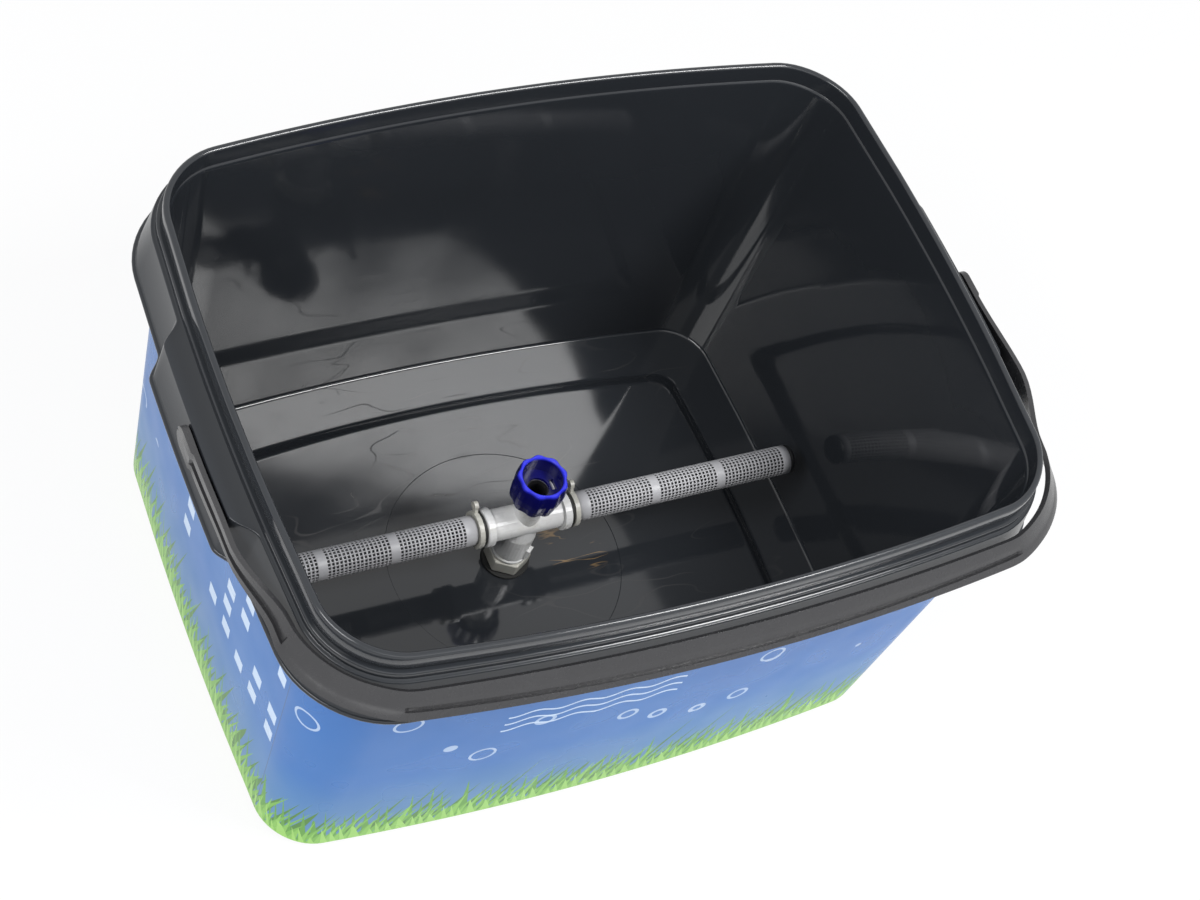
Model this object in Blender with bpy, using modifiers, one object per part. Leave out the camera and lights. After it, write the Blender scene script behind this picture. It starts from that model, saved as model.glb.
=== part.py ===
"""Portable waste water tank: an open rectangular tub with a swinging bail handle.

A cross-shaped pipe fitting stands in the middle of the floor. A hose drops into its
blue collar from above, and two perforated sleeves let the water out into the tub.
Lengths are metres, +Z is up, +X runs along the tub and -Y is the side the bail rests on.
"""
import math

import bmesh
import bpy
from mathutils import Matrix, Vector

MM = 0.001
CLEARANCE = 0.3 * MM
MERGE = 0.01 * MM

# Tub: the rim's outline, its height and the slope of the walls
RIM_LENGTH = 384 * MM
RIM_WIDTH = 295 * MM
TUB_HEIGHT = 228 * MM
WALL = 2.6 * MM
DRAFT = 0.058
LEDGE_DROP = 11.4 * MM
LEDGE_INSET = 4.4 * MM
LEDGE_SLOPE = 0.9 * MM
TOP_CORNER = 28 * MM
FLOOR_CORNER = 22 * MM
TOP_BOW_X = 7 * MM
TOP_BOW_Y = 13 * MM
FLOOR_BOW_X = 4 * MM
FLOOR_BOW_Y = 9.5 * MM
CORNER_STEPS = 6
LONG_SIDE_STEPS = 8
WALL_LEVELS = 3

# Tub: rim bead, ridge, shelf and skirt
BEAD_WIDTH = 3.2 * MM
BEAD_STEPS = 4
GROOVE_DROP = 9.8 * MM
GROOVE_DEPTH = 0.8 * MM
GROOVE_SLOPE = 1.2 * MM
RIDGE_OUTSET = 1.5 * MM
RIDGE_DROP = 12 * MM
RIDGE_SPREAD = 0.6 * MM
EDGE_ROUND = 0.8 * MM
SHELF_DROP = 16.5 * MM
SHELF_OUTSET = 3.4 * MM
SKIRT_FLARE = 3.3 * MM
SKIRT_FOOT_DROP = 45.5 * MM
SKIRT_WALL = 2.2 * MM
LIP_OUTSET = 1.9 * MM
LIP_HEIGHT = 2.6 * MM
HOUSING_HALF_WIDTH = 52 * MM
HOUSING_BLEND = 7 * MM
HOUSING_REACH = 13.1 * MM
HOUSING_FLARE = 1.4 * MM

# Tub: floor
FLOOR_WALL = 3.2 * MM
PANEL_RISE = 4.8 * MM
PANEL_UNDER_RISE = 5 * MM
STEP_INSET = 26 * MM
STEP_WIDTH = 7 * MM
STEP_CORNER = 9 * MM
DISC_RADIUS = 66 * MM
DISC_DEPTH = 0.6 * MM
FLOOR_FILLET = 2 * MM
FILLET_STEPS = 2
FOOT_RADIUS = 2 * MM
FOOT_STEPS = 2

# Printed label
LABEL_WALL = 0.4 * MM
LABEL_FOOT = 2.5 * MM
LABEL_TOP_OVERLAP = 10 * MM

# Bail handle: beyond the pivot housings its inner top edge follows the rim round the front
PIVOT_DROP = 23.2 * MM
CORNER_REACH = 6.4 * MM
GRIP_REACH = 7.7 * MM
BAIL_TOP_DROP = 13.7 * MM
BAIL_LEAN = math.radians(39)
BOSS_WIDTH = 12.6 * MM
ARM_WIDTH = 11.2 * MM
ARM_NARROWING = 50 * MM
CORNER_WIDTH = 14 * MM
GRIP_WIDTH = 15 * MM
STRAP_WALL = 1.4 * MM
STRAP_RIDGE = 1.1 * MM
STRAP_SLOPE = 0.7 * MM
UPPER_RIDGE_SHARE = 0.35
LOWER_RIDGE_SHARE = 0.29
GRIP_UPPER_RIDGE_SHARE = 0.42
GRIP_LOWER_RIDGE_SHARE = 0.17
FLUSH_RIDGE = 0.05 * MM
CHANNEL_END_ANGLE = 6.0
CHANNEL_END_SLOPE = 1.2 * MM
BOSS_WALL = 3.4 * MM
BOSS_LENGTH = 11 * MM
BOSS_BLEND = 1.5 * MM
ARM_GAP = 1.3 * MM
ARM_STEPS = 12
BAIL_CORNER_STEPS = 8
FRONT_STEPS = 9
BOSS_STEPS = 4
BOSS_TIP_ANGLE = 70.0
STUD_RADIUS = 3 * MM
STUD_HEAD_RADIUS = 4.1 * MM
STUD_HEAD_LENGTH = 1.8 * MM

# Fitting: heights above the ground and radii
SLEEVE_AXIS_HEIGHT = 50 * MM
TUBE_RADIUS = 8.7 * MM
SOCKET_BORE = 6.6 * MM
SOCKET_REACH = 24.5 * MM
FLANGE_RADIUS = 10.6 * MM
FLANGE_LENGTH = 4.2 * MM
FLANGE_EDGE = 0.5 * MM
COLUMN_RADIUS = 7.6 * MM
COLUMN_BORE = 5.5 * MM
LOWER_SOCKET_RADIUS = 9.8 * MM
LOWER_SOCKET_BORE = 7.8 * MM
LOWER_SOCKET_DEPTH = 14 * MM
HEAD_RADIUS = 9.8 * MM
HEAD_LENGTH = 7 * MM
HEAD_CHAMFER = 1.5 * MM
HEAD_TOP = 77 * MM
TAB_LENGTH = 7 * MM
TAB_WIDTH = 4.5 * MM
TAB_WALL = 3.2 * MM
TAB_RISE = 4.2 * MM
TAB_ANGLE = math.radians(-53)

# Fitting: collar nut, grip ring and seal
COLLAR_TOP = 93 * MM
COLLAR_HEIGHT = 20.5 * MM
COLLAR_RADIUS = 12.9 * MM
COLLAR_BELLY = 1.0 * MM
COLLAR_LEVELS = 4
COLLAR_EDGE = 1.2 * MM
COLLAR_LOBES = 9
COLLAR_LOBE_DEPTH = 0.55 * MM
COLLAR_STEPS_PER_LOBE = 5
CUP_RADIUS = 11 * MM
CUP_DEPTH = 11 * MM
CUP_FLOOR_WALL = 1.8 * MM
CUP_HOLE = 5.9 * MM
CUP_EDGE = 0.5 * MM
SLOT_LENGTH = 6 * MM
SLOT_WIDTH = 2.6 * MM
SLOT_DISTANCE = 8.2 * MM
SEAL_WALL = 1.2 * MM

# Fitting: spigot, nut and washers on the floor
STEM_RADIUS = 7.5 * MM
STEM_BORE = 5 * MM
SPIGOT_FLANGE_RADIUS = 14 * MM
GASKET_WALL = 1 * MM
WASHER_RADIUS = 13.4 * MM
WASHER_WALL = 1.4 * MM
WASHER_EDGE = 0.3 * MM
NUT_ACROSS_FLATS = 21.6 * MM
NUT_HEIGHT = 9 * MM
NUT_BEVEL = 0.8 * MM
THRUST_RING_RADIUS = 10.4 * MM
THRUST_RING_HEIGHT = 2.2 * MM
THRUST_RING_EDGE = 0.5 * MM

# Sleeves, their seals, locking rings and end caps
SLEEVE_RADIUS = 8.1 * MM
SLEEVE_WALL = 1.2 * MM
SLEEVE_END_ROOM = 12.94 * MM
SLEEVE_NECK_RADIUS = 6.3 * MM
SLEEVE_NECK_LENGTH = 16 * MM
SOCKET_SEAL_RADIUS = 9.6 * MM
SOCKET_SEAL_WALL = 1.5 * MM
LOCKING_RING_RADIUS = 10.2 * MM
LOCKING_RING_WALL = 2.6 * MM
LUG_REACH = 14.2 * MM
LUG_RADIUS = 2.4 * MM
LUG_HOLE = 1.1 * MM
LUG_ANGLE = math.radians(57)
LUG_WALL = 2.2 * MM
STALK_WIDTH = 2.9 * MM
STALK_WALL = 1.8 * MM
LUG_STEPS = 16
CAP_PLUG_LENGTH = 6 * MM
CAP_RIM = 1.2 * MM
CAP_DOME = 3 * MM
CAP_STEPS = 3

ROUND_STEPS = 32
SHARP_ANGLE = math.radians(32)

# Values worked out from the sizes above
PIVOT_HEIGHT = TUB_HEIGHT - PIVOT_DROP
LABEL_TOP = TUB_HEIGHT - SKIRT_FOOT_DROP + LABEL_TOP_OVERLAP
PANEL_TOP = FLOOR_WALL + PANEL_RISE
DISC_TOP = PANEL_TOP - DISC_DEPTH
HOUSING_FACE_X = RIM_LENGTH / 2 + HOUSING_REACH
ARM_FACE_X = HOUSING_FACE_X + ARM_GAP
HOUSING_END = HOUSING_HALF_WIDTH + HOUSING_BLEND
WASHER_FOOT = DISC_TOP + CLEARANCE
NUT_FOOT = WASHER_FOOT + WASHER_WALL + CLEARANCE
THRUST_RING_FOOT = NUT_FOOT + NUT_HEIGHT + CLEARANCE
LOWER_SOCKET_FOOT = THRUST_RING_FOOT + THRUST_RING_HEIGHT + CLEARANCE
STEM_TOP = LOWER_SOCKET_FOOT + LOWER_SOCKET_DEPTH - CLEARANCE
GASKET_TOP = PANEL_UNDER_RISE - CLEARANCE
SPIGOT_FLANGE_TOP = GASKET_TOP - GASKET_WALL - CLEARANCE
FLOOR_HOLE_RADIUS = STEM_RADIUS + CLEARANCE
COLLAR_SEAL_FOOT = HEAD_TOP + CLEARANCE
GRIP_RING_FOOT = COLLAR_SEAL_FOOT + SEAL_WALL + CLEARANCE
CUP_FLOOR_TOP = COLLAR_TOP - CUP_DEPTH
GRIP_RING_TOP = CUP_FLOOR_TOP - CUP_FLOOR_WALL - CLEARANCE
COLLAR_THREAD_RADIUS = HEAD_RADIUS + CLEARANCE
SOCKET_SEAL_X = SOCKET_REACH + CLEARANCE
LOCKING_RING_X = SOCKET_SEAL_X + SOCKET_SEAL_WALL + CLEARANCE
SLEEVE_X = LOCKING_RING_X + LOCKING_RING_WALL + CLEARANCE
WALL_DROP_AT_SLEEVES = TUB_HEIGHT - LEDGE_DROP - SLEEVE_AXIS_HEIGHT
WALL_X_AT_SLEEVES = RIM_LENGTH / 2 - LEDGE_INSET - DRAFT * WALL_DROP_AT_SLEEVES
SLEEVE_END_X = WALL_X_AT_SLEEVES - SLEEVE_END_ROOM - CAP_DOME - CAP_RIM - CLEARANCE
SLEEVE_LENGTH = SLEEVE_END_X - SLEEVE_X
RING_BORE = SLEEVE_NECK_RADIUS + CLEARANCE

PARTS = None
CUTTERS = None


def clear_scene():
    """Removes whatever the file opened with."""
    for item in list(bpy.data.objects):
        bpy.data.objects.remove(item, do_unlink=True)


def new_collection(name):
    """Adds an empty collection to the scene."""
    collection = bpy.data.collections.new(name)
    bpy.context.scene.collection.children.link(collection)
    return collection


def material(name, colour, roughness, metallic=0.0):
    """A plain surface finish."""
    finish = bpy.data.materials.new(name)
    finish.use_nodes = True
    shader = finish.node_tree.nodes["Principled BSDF"]
    shader.inputs["Base Color"].default_value = (*colour, 1.0)
    shader.inputs["Roughness"].default_value = roughness
    shader.inputs["Metallic"].default_value = metallic
    return finish


def add_part(name, mesh, finish=None):
    """Puts a mesh into the parts collection as one named piece."""
    part = bpy.data.objects.new(name, mesh)
    PARTS.objects.link(part)
    if finish is not None:
        mesh.materials.append(finish)
    return part


def add_cutter(name, mesh):
    """Puts a mesh into the cutters collection, hidden from view."""
    cutter = bpy.data.objects.new(name, mesh)
    CUTTERS.objects.link(cutter)
    cutter.hide_render = True
    cutter.display_type = 'WIRE'
    return cutter


def finish_mesh(bm, name, smooth=True):
    """Turns a bmesh into mesh data with smooth round faces and sharp edges."""
    bmesh.ops.recalc_face_normals(bm, faces=bm.faces[:])
    mesh = bpy.data.meshes.new(name)
    bm.to_mesh(mesh)
    bm.free()
    if smooth:
        mesh.shade_smooth()
        mesh.set_sharp_from_angle(angle=SHARP_ANGLE)
    return mesh


def cylinder_mesh(name, radius, start, end, steps=ROUND_STEPS):
    """A solid round bar between two points."""
    bm = bmesh.new()
    length = (end - start).length
    bmesh.ops.create_cone(bm, cap_ends=True, segments=steps, radius1=radius, radius2=radius,
                          depth=length)
    half_step = Matrix.Rotation(math.pi / steps, 4, 'Z')
    turn = (end - start).to_track_quat('Z', 'Y').to_matrix().to_4x4()
    place = Matrix.Translation((start + end) / 2) @ turn @ half_step
    bmesh.ops.transform(bm, matrix=place, verts=bm.verts[:])
    return finish_mesh(bm, name)


def box_mesh(name, centre, size, turn=None):
    """A solid block, turned about its own centre where asked."""
    bm = bmesh.new()
    bmesh.ops.create_cube(bm, size=1.0)
    place = Matrix.Translation(centre) @ (turn or Matrix.Identity(4)) @ Matrix.Diagonal((*size, 1.0))
    bmesh.ops.transform(bm, matrix=place, verts=bm.verts[:])
    return finish_mesh(bm, name, smooth=False)


def boolean(part, other, operation):
    """Cuts one piece with another shape, or joins the shape to it."""
    step = part.modifiers.new(other.name, 'BOOLEAN')
    step.operation = operation
    step.solver = 'EXACT'
    step.object = other


def turned(part, profile, steps=ROUND_STEPS):
    """Turns a closed (radius, height) profile about Z; it runs down its outer side first."""
    bm = bmesh.new()
    corners = [bm.verts.new((radius, 0.0, height)) for radius, height in profile]
    for first, second in zip(corners, corners[1:]):
        bm.edges.new((first, second))
    if profile[0][0] > MERGE:
        bm.edges.new((corners[-1], corners[0]))
    bm.to_mesh(part.data)
    bm.free()
    screw = part.modifiers.new("Turn", 'SCREW')
    screw.axis = 'Z'
    screw.steps = steps
    screw.render_steps = steps
    screw.use_merge_vertices = True
    screw.merge_threshold = MERGE
    return part


def turned_part(name, profile, finish):
    """A turned piece of the tank."""
    return turned(add_part(name, bpy.data.meshes.new(name), finish), profile)


def turned_cutter(name, profile):
    """A turned shape that is joined to a piece or cut from it."""
    return turned(add_cutter(name, bpy.data.meshes.new(name)), profile)


def ring_profile(inner, outer, foot, top, edge=0.0):
    """The section of a plain ring, with its outer edges taken off where asked."""
    if edge == 0.0:
        return [(inner, top), (outer, top), (outer, foot), (inner, foot)]
    return [(inner, top), (outer - edge, top), (outer, top - edge), (outer, foot + edge),
            (outer - edge, foot), (inner, foot)]


def mix(first, second, share):
    """The value at a share of the way from the first to the second."""
    return first + (second - first) * share


def arc(start, end, steps):
    """Equal steps from one angle to another, in degrees, as radians."""
    return [math.radians(mix(start, end, step / steps)) for step in range(steps + 1)]


def smooth_step(value):
    """Rises from 0 to 1 with level ends."""
    share = min(max(value, 0.0), 1.0)
    return share * share * (3.0 - 2.0 * share)


def wall_outset(height):
    """How far the inner face of the wall lies outside the rim's outline at a height."""
    return -LEDGE_INSET - DRAFT * max(TUB_HEIGHT - LEDGE_DROP - height, 0.0)


def side_stations():
    """Places along a short side, closer together where the pivot housing starts."""
    edges = [HOUSING_HALF_WIDTH + HOUSING_BLEND * share for share in (1.0, 0.5, 0.0, -0.5, -1.0)]
    inside = [HOUSING_HALF_WIDTH * share for share in (0.5, 0.0)]
    upper = edges + inside
    return upper + [-place for place in reversed(upper[:-1])]


def outline(half_x, half_y, radius, bow_x, bow_y):
    """A rounded rectangle whose sides bow out, as (x, y) points from the +X side, anticlockwise."""
    flat_x = half_x - bow_x
    flat_y = half_y - bow_y
    points = []

    def bowed(x, y):
        out_y = math.copysign(bow_y * (1.0 - (x / flat_x) ** 2), y)
        out_x = math.copysign(bow_x * (1.0 - (y / flat_y) ** 2), x)
        return x + out_x, y + out_y

    def corner(sign_x, sign_y, start):
        for step in range(CORNER_STEPS + 1):
            angle = start + math.pi / 2 * step / CORNER_STEPS
            points.append(bowed(sign_x * (flat_x - radius) + radius * math.cos(angle),
                                sign_y * (flat_y - radius) + radius * math.sin(angle)))

    def long_side(sign_y):
        reach = flat_x - radius
        for step in range(1, LONG_SIDE_STEPS):
            share = 1.0 - 2.0 * step / LONG_SIDE_STEPS
            points.append(bowed(sign_y * reach * share, sign_y * flat_y))

    def short_side(sign_x):
        for place in reversed(side_stations()):
            points.append(bowed(sign_x * flat_x, sign_x * place))

    short_side(1)
    corner(1, 1, 0.0)
    long_side(1)
    corner(-1, 1, math.pi / 2)
    short_side(-1)
    corner(-1, -1, math.pi)
    long_side(-1)
    corner(1, -1, 1.5 * math.pi)
    return points


def tub_ring(outset, height, housing=None):
    """The tub's outline at a height, this far outside the rim's, or further at the housings."""
    share = 1.0 - height / TUB_HEIGHT
    further = 0.0 if housing is None else housing - outset
    from_wall = outset - wall_outset(height)
    radius = max(mix(TOP_CORNER, FLOOR_CORNER, share) + from_wall, STEP_CORNER)
    flat = outline(RIM_LENGTH / 2 + outset, RIM_WIDTH / 2 + outset, radius,
                   mix(TOP_BOW_X, FLOOR_BOW_X, share), mix(TOP_BOW_Y, FLOOR_BOW_Y, share))
    ring = []
    for x, y in flat:
        bulge = 0.0
        if abs(x) > RIM_LENGTH / 2 - SHELF_OUTSET - TOP_CORNER:
            reach = HOUSING_HALF_WIDTH + HOUSING_BLEND - abs(y)
            bulge = further * smooth_step(reach / (2 * HOUSING_BLEND))
        ring.append(Vector((x + math.copysign(bulge, x), y, height)))
    return ring


def wall_heights():
    """The levels that the wall's outer face and the label both pass through."""
    return [mix(LABEL_FOOT, LABEL_TOP, step / WALL_LEVELS) for step in range(WALL_LEVELS + 1)]


def loft(bm, rings, closed=False):
    """Skins rings of equal length; the ends meet, or each is closed with a flat face."""
    rows = [[bm.verts.new(point) for point in ring] for ring in rings]
    count = len(rows[0])
    following = rows[1:] + rows[:1] if closed else rows[1:]
    for lower, upper in zip(rows, following):
        for index in range(count):
            after = (index + 1) % count
            bm.faces.new((lower[index], lower[after], upper[after], upper[index]))
    if not closed:
        bm.faces.new(rows[0])
        bm.faces.new(rows[-1])


def disc_ring(radius, height, guide):
    """A circle whose points lie in the directions of another ring's points."""
    return [Vector((point.x, point.y, 0.0)).normalized() * radius + Vector((0.0, 0.0, height))
            for point in guide]


def underside_rings():
    """The raised panel under the floor, the foot ring and the rounding up to the wall."""
    step_outer = wall_outset(FLOOR_WALL) - STEP_INSET
    rings = [tub_ring(step_outer - STEP_WIDTH, PANEL_UNDER_RISE), tub_ring(step_outer - WALL, 0.0)]
    for angle in arc(0, 90, FOOT_STEPS):
        height = FOOT_RADIUS * (1.0 - math.cos(angle))
        inset = FOOT_RADIUS * (1.0 - math.sin(angle))
        rings.append(tub_ring(wall_outset(height) + WALL - inset, height))
    return rings


def skirt_rings():
    """The inside of the skirt, its lip, its outer face and the shelf's edge."""
    shelf = TUB_HEIGHT - SHELF_DROP
    shelf_under = shelf - SKIRT_WALL
    skirt_inner = SHELF_OUTSET - SKIRT_WALL
    skirt_foot = SHELF_OUTSET + SKIRT_FLARE
    foot = TUB_HEIGHT - SKIRT_FOOT_DROP
    housing_foot = HOUSING_REACH + HOUSING_FLARE
    edge = LIP_HEIGHT / 3
    return [tub_ring(wall_outset(shelf_under) + WALL, shelf_under),
            tub_ring(skirt_inner, shelf_under, HOUSING_REACH - SKIRT_WALL),
            tub_ring(skirt_foot - SKIRT_WALL, foot, housing_foot - SKIRT_WALL),
            tub_ring(skirt_foot + LIP_OUTSET - edge, foot, housing_foot + LIP_OUTSET - edge),
            tub_ring(skirt_foot + LIP_OUTSET, foot + edge, housing_foot + LIP_OUTSET),
            tub_ring(skirt_foot + LIP_OUTSET, foot + 2 * edge, housing_foot + LIP_OUTSET),
            tub_ring(skirt_foot, foot + LIP_HEIGHT, housing_foot),
            tub_ring(SHELF_OUTSET, shelf - EDGE_ROUND, HOUSING_REACH),
            tub_ring(SHELF_OUTSET - EDGE_ROUND, shelf, HOUSING_REACH - EDGE_ROUND)]


def rim_rings():
    """The ridge above the shelf, the groove, the rounded bead and the ledge inside it."""
    top = TUB_HEIGHT
    ridge = top - RIDGE_DROP
    groove = top - GROOVE_DROP
    radius = BEAD_WIDTH / 2
    rings = [tub_ring(RIDGE_OUTSET + RIDGE_SPREAD, top - SHELF_DROP + RIDGE_SPREAD / 3),
             tub_ring(RIDGE_OUTSET, ridge - EDGE_ROUND), tub_ring(RIDGE_OUTSET - EDGE_ROUND, ridge),
             tub_ring(-GROOVE_DEPTH, ridge), tub_ring(-GROOVE_DEPTH / 2, groove),
             tub_ring(0.0, groove + GROOVE_SLOPE)]
    for angle in arc(0, 180, BEAD_STEPS):
        rings.append(tub_ring(-radius * (1.0 - math.cos(angle)), top - radius * (1.0 - math.sin(angle))))
    return rings + [tub_ring(-LEDGE_INSET + EDGE_ROUND, top - LEDGE_DROP + LEDGE_SLOPE),
                    tub_ring(-LEDGE_INSET, top - LEDGE_DROP)]


def floor_rings():
    """The inside of the wall's foot, the step up to the panel and the shallow disc in its middle."""
    rings = []
    for angle in arc(0, 90, FILLET_STEPS):
        height = FLOOR_WALL + FLOOR_FILLET * (1.0 - math.sin(angle))
        inset = FLOOR_FILLET * (1.0 - math.cos(angle))
        rings.append(tub_ring(wall_outset(height) - inset, height))
    step_outer = wall_outset(FLOOR_WALL) - STEP_INSET
    rings += [tub_ring(step_outer, FLOOR_WALL), tub_ring(step_outer - STEP_WIDTH, PANEL_TOP)]
    guide = rings[-1]
    return rings + [disc_ring(DISC_RADIUS, PANEL_TOP, guide),
                    disc_ring(DISC_RADIUS - DISC_DEPTH, DISC_TOP, guide)]


def tub_rings():
    """Every outline of the tub, from the underside up the outside, over the rim and down inside."""
    wall = [tub_ring(wall_outset(height) + WALL, height) for height in wall_heights()]
    return underside_rings() + wall + skirt_rings() + rim_rings() + floor_rings()


def make_tub(finish):
    """The moulded tub, with its hole for the spigot and a hole for each bail stud."""
    bm = bmesh.new()
    loft(bm, tub_rings())
    tub = add_part("tub", finish_mesh(bm, "tub"), finish)
    spigot_hole = cylinder_mesh("spigot_hole", FLOOR_HOLE_RADIUS, Vector((0, 0, 0)),
                                Vector((0, 0, 2 * PANEL_TOP)))
    boolean(tub, add_cutter("spigot_hole", spigot_hole), 'DIFFERENCE')
    for sign, side in ((-1, "left"), (1, "right")):
        name = side + "_stud_hole"
        start = Vector((sign * (HOUSING_FACE_X - 2 * SKIRT_WALL), 0, PIVOT_HEIGHT))
        end = Vector((sign * (HOUSING_FACE_X + SKIRT_WALL), 0, PIVOT_HEIGHT))
        hole = cylinder_mesh(name, STUD_RADIUS + CLEARANCE, start, end)
        boolean(tub, add_cutter(name, hole), 'DIFFERENCE')
    return tub


def make_label(finish):
    """The printed film round the four walls, from the foot to just above the skirt's lower edge."""
    inner = WALL + CLEARANCE
    outer = inner + LABEL_WALL
    outside = [tub_ring(wall_outset(height) + outer, height) for height in wall_heights()]
    inside = [tub_ring(wall_outset(height) + inner, height) for height in wall_heights()]
    bm = bmesh.new()
    loft(bm, outside + list(reversed(inside)), closed=True)
    return add_part("printed_label", finish_mesh(bm, "printed_label"), finish)


def bail_plan():
    """Half length, half width and corner radius of the strap's inner top edge, before its bow."""
    return (RIM_LENGTH / 2 + CORNER_REACH - TOP_BOW_X, RIM_WIDTH / 2 + CORNER_REACH - TOP_BOW_Y,
            TOP_CORNER + LEDGE_INSET + CORNER_REACH)


def bail_place(x, forward):
    """Bows a place of the strap's plan out as the rim is bowed, and a little more at the grip."""
    half_x, half_y, radius = bail_plan()
    further = (GRIP_REACH - CORNER_REACH) * smooth_step((half_x - radius / 2 - x) / (radius / 2))
    return (x + TOP_BOW_X * (1.0 - (forward / half_y) ** 2),
            forward + TOP_BOW_Y * (1.0 - (x / half_x) ** 2) + further)


def bail_stations():
    """Places from the right boss to the middle of the grip, as (x, forward, whether it is smooth)."""
    half_x, half_y, radius = bail_plan()
    corner_start = half_y - radius
    stations = []
    for step in range(ARM_STEPS + 1):
        forward = mix(BOSS_LENGTH + BOSS_BLEND, corner_start, step / ARM_STEPS)
        inward = smooth_step((forward - HOUSING_END) / (corner_start - HOUSING_END))
        stations.append((mix(ARM_FACE_X, bail_place(half_x, forward)[0], inward), forward, False))
    slope = math.degrees(CHANNEL_END_SLOPE / radius)
    first = CHANNEL_END_ANGLE + slope
    turns = [(CHANNEL_END_ANGLE, False)]
    for step in range(BAIL_CORNER_STEPS + 1):
        turns.append((mix(first, 90.0 - first, step / BAIL_CORNER_STEPS), True))
    turns.append((90.0 - CHANNEL_END_ANGLE, False))
    for degrees, smooth in turns:
        angle = math.radians(degrees)
        x, forward = bail_place(half_x - radius * (1.0 - math.cos(angle)),
                                half_y - radius * (1.0 - math.sin(angle)))
        stations.append((x, forward, smooth))
    for step in range(FRONT_STEPS + 1):
        x, forward = bail_place((half_x - radius) * (1.0 - step / FRONT_STEPS), half_y)
        stations.append((x, forward, False))
    return stations


def strap_section(top, foot, outward, wall, ridge, grip):
    """The strap's section at one place, with a ridge along both edges of its outer face."""
    down = foot - top
    width = down.length
    down.normalize()
    upper = width * mix(UPPER_RIDGE_SHARE, GRIP_UPPER_RIDGE_SHARE, grip)
    lower = width * (1.0 - mix(LOWER_RIDGE_SHARE, GRIP_LOWER_RIDGE_SHARE, grip))
    across = [(0.0, 0.0), (0.0, wall + ridge), (upper, wall + ridge), (upper + STRAP_SLOPE, wall),
              (lower - STRAP_SLOPE, wall), (lower, wall + ridge), (width, wall + ridge), (width, 0.0)]
    return [top + down * along + outward * out for along, out in across]


def boss_sections():
    """The thick round end of the right arm, from its tip to where the channel starts."""
    radius = BOSS_WIDTH / 2
    places = [(radius * math.sin(angle), radius * math.cos(angle))
              for angle in arc(BOSS_TIP_ANGLE, 0, BOSS_STEPS)]
    sections = []
    for y, half in places + [(-BOSS_LENGTH, radius)]:
        sections.append((Vector((ARM_FACE_X, y, PIVOT_HEIGHT + half)),
                         Vector((ARM_FACE_X, y, PIVOT_HEIGHT - half)), Vector((1.0, 0.0, 0.0)),
                         BOSS_WALL, 0.0, 0.0))
    return sections


def strap_sections():
    """Sections of the strap from the right boss to the middle of the grip."""
    half_x, half_y, radius = bail_plan()
    twist_end = half_y - radius * (1.0 - math.sin(math.pi / 4))
    stations = bail_stations()
    path = [Vector((ARM_FACE_X, 0.0, 0.0))] + [Vector((x, -forward, 0.0)) for x, forward, smooth in stations]
    path.append(Vector((-stations[-2][0], -stations[-2][1], 0.0)))
    upright = Vector((0.0, 0.0, 1.0))
    sections = []
    for index, (x, forward, smooth) in enumerate(stations):
        from_boss = smooth_step((forward - BOSS_LENGTH) / ARM_NARROWING)
        twist = smooth_step((forward - HOUSING_END) / (twist_end - HOUSING_END))
        grip = max(1.0 - (x / (half_x - radius)) ** 2, 0.0)
        lean = BAIL_LEAN * twist
        width = mix(mix(BOSS_WIDTH, ARM_WIDTH, from_boss), CORNER_WIDTH, twist)
        width = mix(width, GRIP_WIDTH, grip)
        height = mix(PIVOT_HEIGHT + BOSS_WIDTH / 2, TUB_HEIGHT - BAIL_TOP_DROP, from_boss)
        along = path[index + 2] - path[index]
        sideways = Vector((-along.y, along.x, 0.0)).normalized()
        top = Vector((x, -forward, height))
        foot = top + width * (sideways * math.sin(lean) - upright * math.cos(lean))
        outward = sideways * math.cos(lean) + upright * math.sin(lean)
        wall = STRAP_WALL + STRAP_RIDGE if smooth else STRAP_WALL
        ridge = FLUSH_RIDGE if smooth else STRAP_RIDGE
        sections.append((top, foot, outward, wall, ridge, grip))
    return sections


def bail_rings():
    """The strap's rings from the right boss round the front to the left one."""
    right = [strap_section(*values) for values in boss_sections() + strap_sections()]
    left = [[Vector((-point.x, point.y, point.z)) for point in ring] for ring in reversed(right[:-1])]
    return right + left


def make_bail(finish):
    """The bail: a strap bent round the front, with a stud on the inside of each boss."""
    bm = bmesh.new()
    loft(bm, bail_rings())
    bail = add_part("bail_handle", finish_mesh(bm, "bail_handle"), finish)
    hinge = Vector((0.0, 0.0, PIVOT_HEIGHT))
    head_out = HOUSING_FACE_X - SKIRT_WALL - CLEARANCE
    for sign, side in ((-1, "left"), (1, "right")):
        stem = cylinder_mesh(side + "_stud", STUD_RADIUS,
                             Vector((sign * (head_out - STUD_HEAD_LENGTH / 2), 0, PIVOT_HEIGHT)),
                             Vector((sign * (ARM_FACE_X + BOSS_WALL / 2), 0, PIVOT_HEIGHT)))
        head = cylinder_mesh(side + "_stud_head", STUD_HEAD_RADIUS,
                             Vector((sign * (head_out - STUD_HEAD_LENGTH), 0, PIVOT_HEIGHT)),
                             Vector((sign * head_out, 0, PIVOT_HEIGHT)))
        boolean(bail, add_cutter(side + "_stud", stem), 'UNION')
        boolean(bail, add_cutter(side + "_stud_head", head), 'UNION')
    bail.data.transform(Matrix.Translation(-hinge))
    bail.location = hinge
    return bail


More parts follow.
